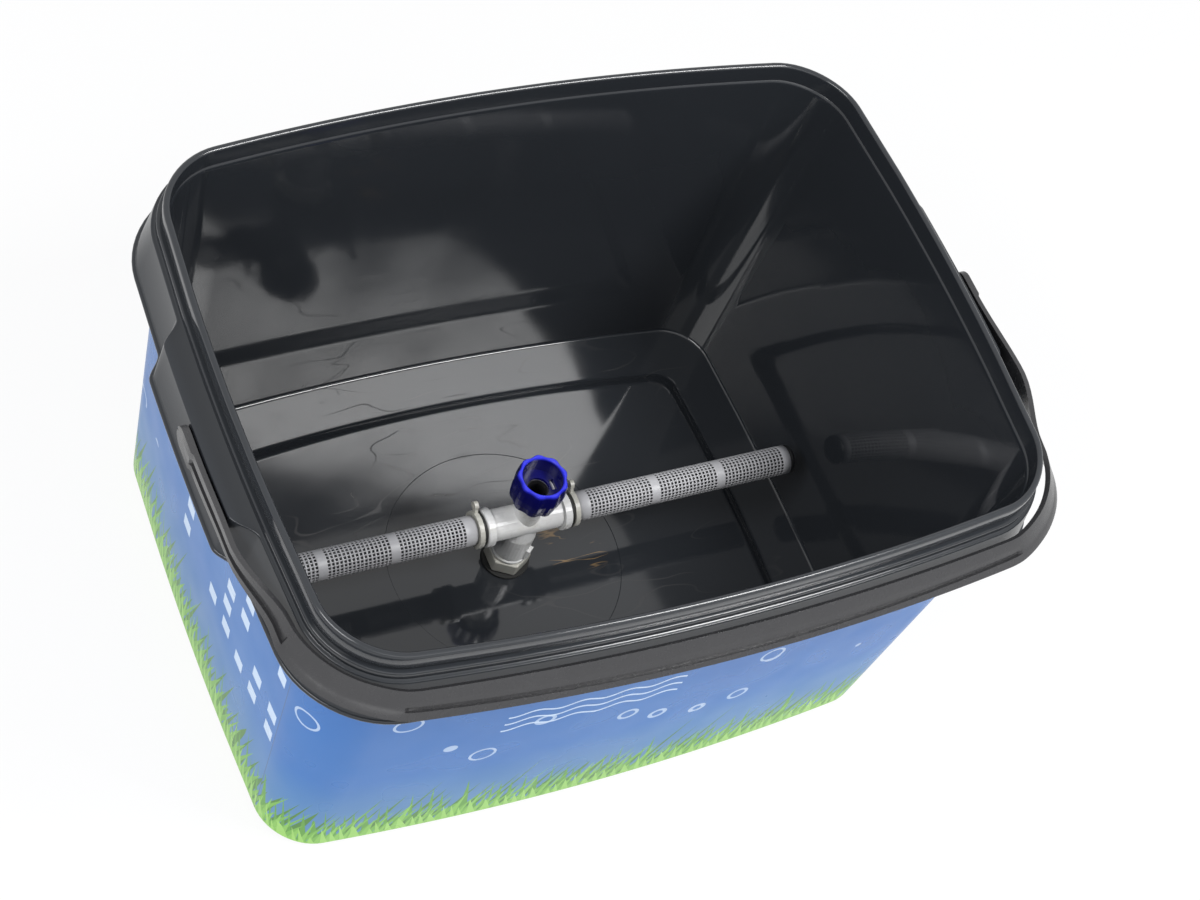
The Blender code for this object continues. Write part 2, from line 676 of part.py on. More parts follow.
def make_spigot(finish):
    """The stem through the floor; its closed flange is level with the tub's foot."""
    return turned_part("floor_spigot",
                       [(0.0, SPIGOT_FLANGE_TOP), (STEM_BORE, SPIGOT_FLANGE_TOP), (STEM_BORE, STEM_TOP),
                        (STEM_RADIUS, STEM_TOP), (STEM_RADIUS, SPIGOT_FLANGE_TOP),
                        (SPIGOT_FLANGE_RADIUS, SPIGOT_FLANGE_TOP), (SPIGOT_FLANGE_RADIUS, 0.0),
                        (0.0, 0.0)], finish)


def make_floor_rings(rubber, cream, white):
    """The washers, the nut and the thrust ring round the stem."""
    bore = STEM_RADIUS + CLEARANCE
    turned_part("floor_gasket", ring_profile(bore, SPIGOT_FLANGE_RADIUS, GASKET_TOP - GASKET_WALL,
                                             GASKET_TOP), rubber)
    turned_part("floor_washer", ring_profile(bore, WASHER_RADIUS, WASHER_FOOT,
                                             WASHER_FOOT + WASHER_WALL, WASHER_EDGE), rubber)
    turned_part("thrust_ring", ring_profile(bore, THRUST_RING_RADIUS, THRUST_RING_FOOT,
                                            THRUST_RING_FOOT + THRUST_RING_HEIGHT, THRUST_RING_EDGE),
                white)
    bm = bmesh.new()
    across_corners = NUT_ACROSS_FLATS / math.cos(math.pi / 6)
    bmesh.ops.create_cone(bm, cap_ends=True, segments=6, radius1=across_corners / 2,
                          radius2=across_corners / 2, depth=NUT_HEIGHT)
    centre = Vector((0, 0, NUT_FOOT + NUT_HEIGHT / 2))
    bmesh.ops.transform(bm, matrix=Matrix.Translation(centre), verts=bm.verts[:])
    bmesh.ops.bevel(bm, geom=bm.edges[:], offset=NUT_BEVEL, segments=2, affect='EDGES', profile=0.5)
    nut = add_part("hex_nut", finish_mesh(bm, "hex_nut"), cream)
    hole = cylinder_mesh("nut_hole", bore, Vector((0, 0, NUT_FOOT - WASHER_WALL)),
                         Vector((0, 0, THRUST_RING_FOOT + THRUST_RING_HEIGHT)))
    boolean(nut, add_cutter("nut_hole", hole), 'DIFFERENCE')


def upright_profile():
    """The outer shape of the upright: threaded head, column and the socket round the stem."""
    shoulder = HEAD_TOP - HEAD_LENGTH
    return [(0.0, HEAD_TOP), (HEAD_RADIUS, HEAD_TOP), (HEAD_RADIUS, shoulder),
            (COLUMN_RADIUS, shoulder - HEAD_CHAMFER), (COLUMN_RADIUS, SLEEVE_AXIS_HEIGHT),
            (LOWER_SOCKET_RADIUS, SLEEVE_AXIS_HEIGHT - FLANGE_RADIUS),
            (LOWER_SOCKET_RADIUS, LOWER_SOCKET_FOOT), (0.0, LOWER_SOCKET_FOOT)]


def level_profile():
    """The outer shape of the level tube with a flange at both ends."""
    half = [(0.0, SOCKET_REACH), (FLANGE_RADIUS - FLANGE_EDGE, SOCKET_REACH),
            (FLANGE_RADIUS, SOCKET_REACH - FLANGE_EDGE), (FLANGE_RADIUS, SOCKET_REACH - FLANGE_LENGTH),
            (TUBE_RADIUS, SOCKET_REACH - FLANGE_LENGTH - FLANGE_EDGE)]
    return half + [(radius, -place) for radius, place in reversed(half)]


def make_fitting_body(finish):
    """The white cross: two level sockets, an upright column and a socket down to the stem."""
    axis = SLEEVE_AXIS_HEIGHT
    body = turned_part("fitting_body", upright_profile(), finish)
    level = turned_cutter("level_tube", level_profile())
    level.location = Vector((0, 0, axis))
    level.rotation_euler = (0.0, math.pi / 2, 0.0)
    tab_turn = Matrix.Rotation(TAB_ANGLE, 4, 'Z')
    tab_centre = tab_turn @ Vector((LOWER_SOCKET_RADIUS, 0.0, LOWER_SOCKET_FOOT + TAB_RISE))
    tab = box_mesh("release_tab", tab_centre, (TAB_WALL, TAB_WIDTH, TAB_LENGTH), tab_turn)
    past_end = SOCKET_REACH + FLANGE_LENGTH
    level_bore = cylinder_mesh("level_bore", SOCKET_BORE, Vector((-past_end, 0, axis)),
                               Vector((past_end, 0, axis)))
    above = HEAD_TOP + FLANGE_LENGTH
    below = LOWER_SOCKET_FOOT - FLANGE_LENGTH
    lower_top = LOWER_SOCKET_FOOT + LOWER_SOCKET_DEPTH
    upright_bore = turned_cutter("upright_bore", [(0.0, above), (COLUMN_BORE, above),
                                                  (COLUMN_BORE, lower_top), (LOWER_SOCKET_BORE, lower_top),
                                                  (LOWER_SOCKET_BORE, below), (0.0, below)])
    boolean(body, level, 'UNION')
    boolean(body, add_cutter("release_tab", tab), 'UNION')
    boolean(body, upright_bore, 'DIFFERENCE')
    boolean(body, add_cutter("level_bore", level_bore), 'DIFFERENCE')
    return body


def lobed_ring(radius, lobe, height):
    """A circle with the collar's flutes in it."""
    count = COLLAR_LOBES * COLLAR_STEPS_PER_LOBE
    ring = []
    for index in range(count):
        angle = 2 * math.pi * index / count
        reach = radius + lobe * math.cos(COLLAR_LOBES * angle)
        ring.append(Vector((reach * math.cos(angle), reach * math.sin(angle), height)))
    return ring


def make_collar(finish):
    """The blue cup nut: fluted outside, a cup for the hose above and a thread round the head below."""
    foot = COLLAR_TOP - COLLAR_HEIGHT
    flute = COLLAR_LOBE_DEPTH
    under = CUP_FLOOR_TOP - CUP_FLOOR_WALL
    outer = [(COLLAR_RADIUS - COLLAR_EDGE, flute, foot)]
    for step in range(COLLAR_LEVELS + 1):
        share = step / COLLAR_LEVELS
        outer.append((COLLAR_RADIUS + COLLAR_BELLY * math.sin(math.pi * share), flute,
                      mix(foot + COLLAR_EDGE, COLLAR_TOP - CUP_EDGE, share)))
    outer.append((COLLAR_RADIUS - CUP_EDGE, flute, COLLAR_TOP))
    inner = [(CUP_RADIUS + CUP_EDGE, 0.0, COLLAR_TOP), (CUP_RADIUS, 0.0, COLLAR_TOP - CUP_EDGE),
             (CUP_RADIUS, 0.0, CUP_FLOOR_TOP), (CUP_HOLE, 0.0, CUP_FLOOR_TOP),
             (CUP_HOLE, 0.0, under), (COLLAR_THREAD_RADIUS, 0.0, under),
             (COLLAR_THREAD_RADIUS, 0.0, foot)]
    bm = bmesh.new()
    loft(bm, [lobed_ring(*values) for values in outer + inner], closed=True)
    collar = add_part("collar_nut", finish_mesh(bm, "collar_nut"), finish)
    for sign, side in ((-1, "left"), (1, "right")):
        centre = Vector((sign * SLOT_DISTANCE, 0, CUP_FLOOR_TOP - CUP_FLOOR_WALL / 2))
        slot = box_mesh(side + "_slot", centre, (SLOT_WIDTH, SLOT_LENGTH, 2 * CUP_FLOOR_WALL))
        boolean(collar, add_cutter(side + "_slot", slot), 'DIFFERENCE')
    return collar


def make_collar_rings(rubber, white):
    """The flat seal on the head and the grip ring between it and the cup's floor."""
    outer = HEAD_RADIUS - CLEARANCE
    turned_part("collar_seal", ring_profile(COLUMN_BORE, outer, COLLAR_SEAL_FOOT,
                                            COLLAR_SEAL_FOOT + SEAL_WALL), rubber)
    turned_part("grip_ring", ring_profile(COLUMN_BORE, outer, GRIP_RING_FOOT, GRIP_RING_TOP),
                white)


def place_along(part, sign, distance=0.0):
    """Lays a turned piece on the sleeve axis, its +Z pointing away from the fitting."""
    part.location = Vector((sign * distance, 0.0, SLEEVE_AXIS_HEIGHT))
    part.rotation_euler = (0.0, sign * math.pi / 2, 0.0)


def sleeve_profile():
    """The strainer sleeve's section along its axis, neck at the bottom and open at both ends."""
    inner = SLEEVE_RADIUS - SLEEVE_WALL
    neck_bore = SLEEVE_NECK_RADIUS - SLEEVE_WALL
    return [(inner, SLEEVE_LENGTH), (SLEEVE_RADIUS, SLEEVE_LENGTH), (SLEEVE_RADIUS, 0.0),
            (SLEEVE_NECK_RADIUS, 0.0), (SLEEVE_NECK_RADIUS, -SLEEVE_NECK_LENGTH),
            (neck_bore, -SLEEVE_NECK_LENGTH), (neck_bore, SLEEVE_WALL), (inner, SLEEVE_WALL)]


def cap_profile():
    """The end cap: a plug inside the sleeve, a rim against its end and a low dome."""
    plug = SLEEVE_RADIUS - SLEEVE_WALL - CLEARANCE
    rim = SLEEVE_RADIUS
    dome = [(rim * math.sin(angle), CAP_RIM + CAP_DOME * math.cos(angle))
            for angle in arc(0, 90, CAP_STEPS)]
    return dome + [(rim, 0.0), (plug, 0.0), (plug, -CAP_PLUG_LENGTH), (0.0, -CAP_PLUG_LENGTH)]


def make_sleeves(grey, rubber, cream, black):
    """On each side the seal, the locking ring, the sleeve and its end cap."""
    for sign, side in ((-1, "left"), (1, "right")):
        seal = turned_part(side + "_socket_seal",
                           ring_profile(RING_BORE, SOCKET_SEAL_RADIUS, 0.0, SOCKET_SEAL_WALL,
                                        WASHER_EDGE),
                           rubber)
        place_along(seal, sign, SOCKET_SEAL_X)
        make_locking_ring(sign, side, cream)
        sleeve = turned_part(side + "_sleeve", sleeve_profile(), grey)
        place_along(sleeve, sign, SLEEVE_X)
        cap = turned_part(side + "_end_cap", cap_profile(), black)
        place_along(cap, sign, SLEEVE_END_X + CLEARANCE)


def make_locking_ring(sign, side, finish):
    """The ring outside the socket seal, with an eyed lug for a finger or a cord."""
    start = Vector((sign * LOCKING_RING_X, 0, SLEEVE_AXIS_HEIGHT))
    end = Vector((sign * (LOCKING_RING_X + LOCKING_RING_WALL), 0, SLEEVE_AXIS_HEIGHT))
    middle = (start + end) / 2
    name = side + "_locking_ring"
    ring = add_part(name, cylinder_mesh(name, LOCKING_RING_RADIUS, start, end), finish)
    direction = Vector((0.0, math.cos(LUG_ANGLE), math.sin(LUG_ANGLE)))
    tip = middle + direction * LUG_REACH
    half = Vector((LUG_WALL / 2, 0, 0))
    lug = cylinder_mesh(side + "_lug", LUG_RADIUS, tip - half, tip + half, LUG_STEPS)
    boolean(ring, add_cutter(side + "_lug", lug), 'UNION')
    stalk_turn = Matrix.Rotation(LUG_ANGLE, 4, 'X')
    stalk_length = LUG_REACH - LOCKING_RING_RADIUS + LUG_RADIUS
    stalk_centre = middle + direction * (LUG_REACH - stalk_length / 2)
    stalk = box_mesh(side + "_stalk", stalk_centre,
                     (STALK_WALL, stalk_length, STALK_WIDTH), stalk_turn)
    boolean(ring, add_cutter(side + "_stalk", stalk), 'UNION')
    over = Vector((LOCKING_RING_WALL, 0, 0))
    eye = cylinder_mesh(side + "_eye", LUG_HOLE, tip - over, tip + over, LUG_STEPS)
    boolean(ring, add_cutter(side + "_eye", eye), 'DIFFERENCE')
    bore = cylinder_mesh(side + "_ring_bore", RING_BORE, middle - over, middle + over)
    boolean(ring, add_cutter(side + "_ring_bore", bore), 'DIFFERENCE')
    return ring


def main():
    """Builds the whole tank."""
    global PARTS, CUTTERS
    clear_scene()
    PARTS = new_collection("waste_water_tank")
    CUTTERS = new_collection("cutters")
    anthracite = material("anthracite plastic", (0.040, 0.042, 0.046), 0.28)
    strap_grey = material("strap plastic", (0.055, 0.052, 0.050), 0.38)
    print_blue = material("printed film", (0.10, 0.22, 0.52), 0.45)
    white = material("white plastic", (0.80, 0.80, 0.78), 0.35)
    cream = material("cream plastic", (0.62, 0.60, 0.52), 0.40)
    blue = material("blue plastic", (0.02, 0.02, 0.55), 0.25)
    grey = material("grey plastic", (0.42, 0.42, 0.43), 0.40)
    black = material("black plastic", (0.02, 0.02, 0.02), 0.35)
    rubber = material("black rubber", (0.015, 0.015, 0.015), 0.70)
    make_tub(anthracite)
    make_label(print_blue)
    make_bail(strap_grey)
    make_spigot(cream)
    make_floor_rings(rubber, cream, white)
    make_fitting_body(white)
    make_collar(blue)
    make_collar_rings(rubber, white)
    make_sleeves(grey, rubber, cream, black)


main()
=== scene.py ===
import math

import bmesh
import bpy
from mathutils import Matrix, Vector


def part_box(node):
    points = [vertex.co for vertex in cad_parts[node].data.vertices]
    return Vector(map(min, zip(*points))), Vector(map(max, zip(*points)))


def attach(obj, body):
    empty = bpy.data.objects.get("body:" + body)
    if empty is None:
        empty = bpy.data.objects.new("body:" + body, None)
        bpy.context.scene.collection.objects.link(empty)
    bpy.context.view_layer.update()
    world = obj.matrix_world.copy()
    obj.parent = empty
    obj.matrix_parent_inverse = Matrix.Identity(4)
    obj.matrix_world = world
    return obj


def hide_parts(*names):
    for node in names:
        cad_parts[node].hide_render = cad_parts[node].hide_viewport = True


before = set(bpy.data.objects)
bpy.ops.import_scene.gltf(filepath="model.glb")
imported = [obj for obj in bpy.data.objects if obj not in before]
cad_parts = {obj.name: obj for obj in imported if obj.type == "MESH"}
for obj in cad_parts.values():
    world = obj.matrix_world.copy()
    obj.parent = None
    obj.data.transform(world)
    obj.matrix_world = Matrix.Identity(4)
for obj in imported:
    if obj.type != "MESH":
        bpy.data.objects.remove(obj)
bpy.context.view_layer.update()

MM = 0.001

# Camera of the photograph
CAMERA_PLACE = Vector((-0.5079, -0.5289, 1.1419))
CAMERA_YAW = 0.79183
CAMERA_PITCH = 0.94106
CAMERA_ROLL = 0.47165
CAMERA_LENS = 74.70
SENSOR_WIDTH = 36.0
VIEW_END = 20.0

# Sizes of the tub, read from the frame where it shows them
TUB_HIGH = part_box("tub")[1]
TUB_HEIGHT = TUB_HIGH.z
HOUSING_REACH = 13.1 * MM
HOUSING_FLARE = 1.4 * MM
LIP_OUTSET = 1.9 * MM
RIM_LENGTH = 2 * (TUB_HIGH.x - HOUSING_REACH - HOUSING_FLARE - LIP_OUTSET)
SHELF_OUTSET = 3.4 * MM
SKIRT_FLARE = 3.3 * MM
RIM_WIDTH = 2 * (TUB_HIGH.y - SHELF_OUTSET - SKIRT_FLARE - LIP_OUTSET)
WALL = 2.6 * MM
DRAFT = 0.058
LEDGE_DROP = 11.4 * MM
LEDGE_INSET = 4.4 * MM
LEDGE_SLOPE = 0.9 * MM
LEDGE_FOOT = 2 * MM
TOP_CORNER = 28 * MM
FLOOR_CORNER = 22 * MM
TOP_BOW_X = 7 * MM
TOP_BOW_Y = 13 * MM
FLOOR_BOW_X = 4 * MM
FLOOR_BOW_Y = 9.5 * MM
BEAD_WIDTH = 3.2 * MM
GROOVE_DROP = 9.8 * MM
GROOVE_DEPTH = 0.8 * MM
GROOVE_SLOPE = 1.2 * MM
RIDGE_OUTSET = 1.5 * MM
RIDGE_DROP = 12 * MM
RIDGE_SPREAD = 0.25 * MM
EDGE_ROUND = 0.8 * MM
SHELF_DROP = 16.5 * MM
SKIRT_FOOT_DROP = 45.5 * MM
SKIRT_WALL = 2.2 * MM
LIP_HEIGHT = 2.6 * MM
LIP_BLEND = 1 * MM
HOUSING_HALF_WIDTH = 52 * MM
HOUSING_BLEND = 7 * MM
HOUSING_END = HOUSING_HALF_WIDTH + HOUSING_BLEND
FLOOR_WALL = 3.2 * MM
PANEL_TOP = 8 * MM
PANEL_UNDER_RISE = 5 * MM
STEP_INSET = 26 * MM
STEP_WIDTH = 9.5 * MM
STEP_CORNER = 9 * MM
DISC_RADIUS = 66 * MM
DISC_DEPTH = 0.3 * MM
BEND_BAND = 0.5 * MM
STEP_PROFILE = ((0.0, 0.0), (0.07, 0.01), (0.15, 0.05), (0.27, 0.18),
                (0.73, 0.82), (0.85, 0.95), (0.93, 0.99), (1.0, 1.0))
FLOOR_FILLET = 1.4 * MM
FOOT_RADIUS = 2 * MM
FLOOR_HOLE_RADIUS = 7.8 * MM
CORNER_STEPS = 14
LONG_SIDE_STEPS = 26
SHORT_SIDE_STEPS = 30
HOUSING_EDGE_STEPS = 8
ROUND_EDGE_STEPS = 4
BEAD_STEPS = 10
WALL_LEVELS = 6

# Printed film on the walls, from the foot to under the skirt
LABEL_LOW, LABEL_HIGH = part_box("printed_label")
LABEL_GAP = 0.3 * MM
LABEL_WALL = 0.4 * MM

# Bail strap, with its angles in degrees
PIVOT_DROP = 23.2 * MM
PIVOT_HEIGHT = TUB_HEIGHT - PIVOT_DROP
ARM_PROUD = 1.3 * MM
ARM_FACE_X = TUB_HIGH.x - HOUSING_FLARE - LIP_OUTSET + ARM_PROUD
CORNER_REACH = 6.4 * MM
GRIP_REACH = 7.7 * MM
BAIL_TOP_DROP = 13.7 * MM
BAIL_LEAN = math.radians(39)
BOSS_WIDTH = 12.6 * MM
ARM_WIDTH = 11.2 * MM
ARM_NARROWING = 50 * MM
CORNER_WIDTH = 14 * MM
GRIP_WIDTH = 15 * MM
STRAP_WALL = 0.8 * MM
STRAP_RIDGE = 1.7 * MM
STRAP_SLOPE = 0.7 * MM
SLOT_WIDTH = 2.2 * MM
SLOT_EDGE = 0.15 * MM
SLOT_FLOOR = 0.4 * MM
SLOT_FACE_SHARE = 0.9
SLOT_BRINK_SHARE = 0.6
UPPER_RIDGE_SHARE = 0.35
LOWER_RIDGE_SHARE = 0.29
GRIP_UPPER_RIDGE_SHARE = 0.42
GRIP_LOWER_RIDGE_SHARE = 0.17
FLUSH_RIDGE = 0.05 * MM
CHANNEL_END_ANGLE = 6.0
CHANNEL_END_SLOPE = 1.2 * MM
BOSS_WALL = 3.4 * MM
BOSS_LENGTH = 11 * MM
BOSS_BLEND = 1.5 * MM
BOSS_TIP_ANGLE = 70.0
BOSS_STEPS = 10
ARM_STEPS = 18
BAIL_CORNER_STEPS = 18
FRONT_STEPS = 24
STRAP_EDGE_ROUND = 0.4 * MM
STRAP_EDGE_STEPS = 2
STRAP_EDGE_ANGLE = 32.0
STUD_RADIUS = 3 * MM
STUD_SIDES = 32

# Sleeves
SLEEVE_HOLE = 1.35 * MM
SLEEVE_COLUMNS = 26
SLEEVE_ROWS = (17, 16, 17)
SLEEVE_START = 6.5 * MM
SLEEVE_BAND = 4.4 * MM
SLEEVE_WALL = 0.8 * MM
NECK_LENGTH = 16 * MM

# Every piece: the distance that merges vertices, and the angles in degrees from which edges are sharp
MERGE = 0.001 * MM
SHARP_ANGLE = 35.0
STRAP_SHARP_ANGLE = 50.0
SLEEVE_SHARP_ANGLE = 40.0

# Tones of the plastics, each with the one that it drifts to, and the painted shade and painted light laid
# over some of them
TUB_DEEP = (0.022, 0.025, 0.029)
TUB_PALE = (0.026, 0.029, 0.034)
STRAP_TONE = (0.030, 0.030, 0.032)
STRAP_PALE = (0.040, 0.040, 0.042)
WHITE_TONE = (0.80, 0.80, 0.79)
STAIN_TONE = (0.66, 0.65, 0.60)
# Painted shade down the bore of the white fitting, where little light reaches, and where it starts and
# fades
BORE_SHADE_TONE = (0.020, 0.020, 0.024)
BORE_REACH = 6.2 * MM
BORE_FADE = 0.3 * MM
BLUE_DEEP = (0.003, 0.003, 0.085)
BLUE_BODY = (0.006, 0.006, 0.130)
# Painted highlight: the collar's thin upper rim glows bright blue between these two heights
BLUE_RIM_HIGHLIGHT = (0.030, 0.036, 0.720)
COLLAR_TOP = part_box("collar_nut")[1].z
RIM_HIGHLIGHT_FOOT = COLLAR_TOP - 2.2 * MM
RIM_HIGHLIGHT_FULL = COLLAR_TOP - 0.8 * MM
MESH_TONE = (0.46, 0.46, 0.475)
MESH_PALE = (0.54, 0.54, 0.555)
# Painted shade on the sleeves' inner face, which shows through the holes
MESH_INSIDE_SHADE = (0.022, 0.022, 0.024)
SLEEVE_AXIS_HEIGHT = 50 * MM
SLEEVE_RADIUS = 8.1 * MM
MESH_EDGE = 0.08 * MM
MESH_DEPTH = 0.3 * MM
CREAM_TONE = (0.50, 0.49, 0.44)
CREAM_PALE = (0.58, 0.57, 0.51)
BLACK_TONE = (0.010, 0.010, 0.011)
BLACK_PALE = (0.016, 0.016, 0.017)
RUBBER_TONE = (0.012, 0.012, 0.012)
RUBBER_PALE = (0.020, 0.020, 0.019)

# Noises of the plastics: features per metre and detail
NOISE_RANGE = (0.3, 0.7)
TUB_DRIFT = (9.0, 2.0)
STRAP_DRIFT = (40.0, 3.0)
TONE_DRIFT = (60.0, 3.0)
STAINS = (90.0, 5.0)
STAIN_RANGE = (0.55, 0.75)
MOULDED_SHEEN = (140.0, 4.0)
CLOUDS = (6.0, 2.0, (1.0, 1.0, 0.0))

# Gloss of the plastics: features per metre, detail, lowest and highest roughness
TUB_GLOSS = (35.0, 5.0, 0.05, 0.09)
STRAP_GLOSS = (260.0, 4.0, 0.22, 0.30)
FILM_GLOSS = (40.0, 1.0, 0.26, 0.34)
WHITE_GLOSS = (200.0, 3.0, 0.24, 0.38)
BLUE_GLOSS = (140.0, 3.0, 0.17, 0.26)
MESH_GLOSS = (*MOULDED_SHEEN, 0.34, 0.46)
CREAM_GLOSS = (*MOULDED_SHEEN, 0.30, 0.42)
BLACK_GLOSS = (*MOULDED_SHEEN, 0.28, 0.40)
RUBBER_GLOSS = (*MOULDED_SHEEN, 0.60, 0.76)

# Grain and slow waves of the plastics: features per metre, detail and depth
TUB_WAVES = (11.0, 1.0, 0.3 * MM)
FILM_WAVES = (12.0, 0.0, 0.2 * MM)
STRAP_GRAIN = (1500.0, 2.0, 0.02 * MM)
HARD_GRAIN = (700.0, 2.0, 0.03 * MM)
SOFT_GRAIN = (900.0, 2.0, 0.04 * MM)

# Wear inside the tub; hairlines have features per metre, stretch and width
HAIRLINE_DETAIL = 1.5
SCUFF_TONE = (0.105, 0.100, 0.095)
SCUFF_PATCHES = (16.0, 2.0)
SCUFF_RANGE = (0.50, 0.62)
SCUFF_LINES = (15.0, (1.0, 3.0, 1.0), 0.010)
SCUFF_TOP = PANEL_TOP + 6 * MM
SCUFF_SHARE = 0.16
SCUFF_DULL = 0.5
SCRATCH_TONE = (0.010, 0.010, 0.011)
SCRATCH_SPOTS = (26.0, 1.0)
SCRATCH_RANGE = (0.48, 0.60)
SCRATCH_LINES = (11.0, (1.0, 3.4, 3.4), 0.006)
SCRATCH_PLACE = (-0.03, 0.10, 0.02)
SCRATCH_REACH = 110 * MM
SCRATCH_TOP = 60 * MM
SCRATCH_SHARE = 0.55
SCRATCH_DULL = 0.4
RUST_TONE = (0.260, 0.170, 0.080)
RUST_LINES = (36.0, (1.0, 5.0, 1.0), 0.020)
RUST_PLACES = ((0.032, 0.010, PANEL_TOP), (0.033, -0.006, PANEL_TOP), (0.049, -0.010, PANEL_TOP))
RUST_REACH = 10 * MM

# Shine of the tub, which is duller on the vertices that carry a share of outside
TUB_IOR = 1.54
OUTSIDE = "outside"
OUTSIDE_DULL = 0.14
INSIDE_SHINE = 0.50
OUTSIDE_SHINE = 0.30
RIM_SHARE = 0.5

# Print on the film
FILM_DEEP = (0.026, 0.130, 0.400)
FILM_BRIGHT = (0.050, 0.190, 0.490)
FILM_HAZE = (0.130, 0.275, 0.400)
FILM_IOR = 1.25
FILM_PALE = (0.62, 0.74, 0.88)
LIFT_HEIGHTS = (0.01, 0.17)
LIFT_SHARES = (0.9, 0.05)
CLOUD_SHARES = (-0.25, 0.35)
HAZE_HEIGHTS = (0.080, 0.025)
HAZE_SHARE = 0.6
PRINT_SHARE = 0.85
RING_CELLS = 42.0
RING_SCATTER = 0.8
RING_SPAN = (0.25, 0.31)
RINGS_LEFT_OUT = 0.62
RING_FOOT = 75 * MM
RING_SHARE = 0.6
WAVE_LENGTH = 24 * MM
WAVE_SWING = 1.8 * MM
WAVE_WIDTH = 1.6 * MM
WAVE_SPAN = (0.112, 0.205)
WAVE_HEIGHTS = (0.118, 0.126, 0.134)
TILE_CELLS = 52.0
TILE_SCATTER = 0.35
TILE_HALF = 0.24
TILES_LEFT_OUT = 0.35
TILE_FACE_X = -0.165
TILE_SPAN = (-0.098, 0.030)
TILE_RISE = (0.070, 0.165)
TILE_RED = (0.520, 0.040, 0.045)
TILE_RED_FROM = 0.62
TILE_YELLOW = (0.700, 0.480, 0.060)
TILE_YELLOW_FROM = 0.82
SEAM_WIDTH = 0.5 * MM
SEAM_TONE = (0.060, 0.090, 0.150)
SEAM_SHARE = 0.6

# Green points along the film's foot: base, reach, pitch, lean, shift and tone of each row
BLADE_SWAY = 1.6
BLADE_SWAY_PACE = 0.35
BLADE_TAPER = 3.0
BLADE_TALL_PACE = 0.8
BLADE_TALL_SEED = 3.0
BLADE_TALL_RANGE = (0.25, 0.75)
BLADE_SHORTEST = 0.35
GREEN_ROWS = (
    (6 * MM, 58 * MM, 6.8 * MM, 0.30, 0.13, (0.075, 0.220, 0.040)),
    (6 * MM, 50 * MM, 5.6 * MM, -0.16, 0.41, (0.120, 0.330, 0.050)),
    (5 * MM, 43 * MM, 6.2 * MM, 0.38, 0.77, (0.180, 0.430, 0.070)),
    (4 * MM, 34 * MM, 5.0 * MM, 0.10, 0.29, (0.240, 0.510, 0.095)),
    (3 * MM, 23 * MM, 5.8 * MM, -0.26, 0.58, (0.330, 0.610, 0.140)),
)

# Studio: name, centre, size, radiance and turn in degrees of each soft box
SOFT_BOXES = (
    ("right soft box", (0.68, -0.5825), (0.44, 0.395), 25.0, 0.0),
    ("slanting soft box", (0.757, -0.973), (0.438, 0.12), 24.0, -45.0),
    ("front soft box", (0.0, -1.8), (2.6, 1.2), 1.3, 0.0),
    ("left soft box", (-1.3, -0.3), (0.6, 1.0), 11.0, 0.0),
)
WATTS_PER_RADIANCE = 4.0
SOFT_BOX_HEIGHT = 1.5
WORLD_TONE = (0.35, 0.36, 0.39, 1.0)
WHITE = (1.0, 1.0, 1.0, 1.0)
FLOOR_REACH = 4.0
FLOOR_TONE = (0.9, 0.9, 0.9, 1.0)
FLOOR_ROUGHNESS = 0.9
FLOOR_GLOW = 0.90


def mix(first, second, share):
    """The value at a share of the way from the first to the second."""
    return first + (second - first) * share


def arc(start, end, steps):
    """Equal steps from one angle to another, in degrees, as radians."""
    return [math.radians(mix(start, end, step / steps)) for step in range(steps + 1)]


def smooth_step(value):
    """Rises from 0 to 1 with level ends."""
    share = min(max(value, 0.0), 1.0)
    return share * share * (3.0 - 2.0 * share)


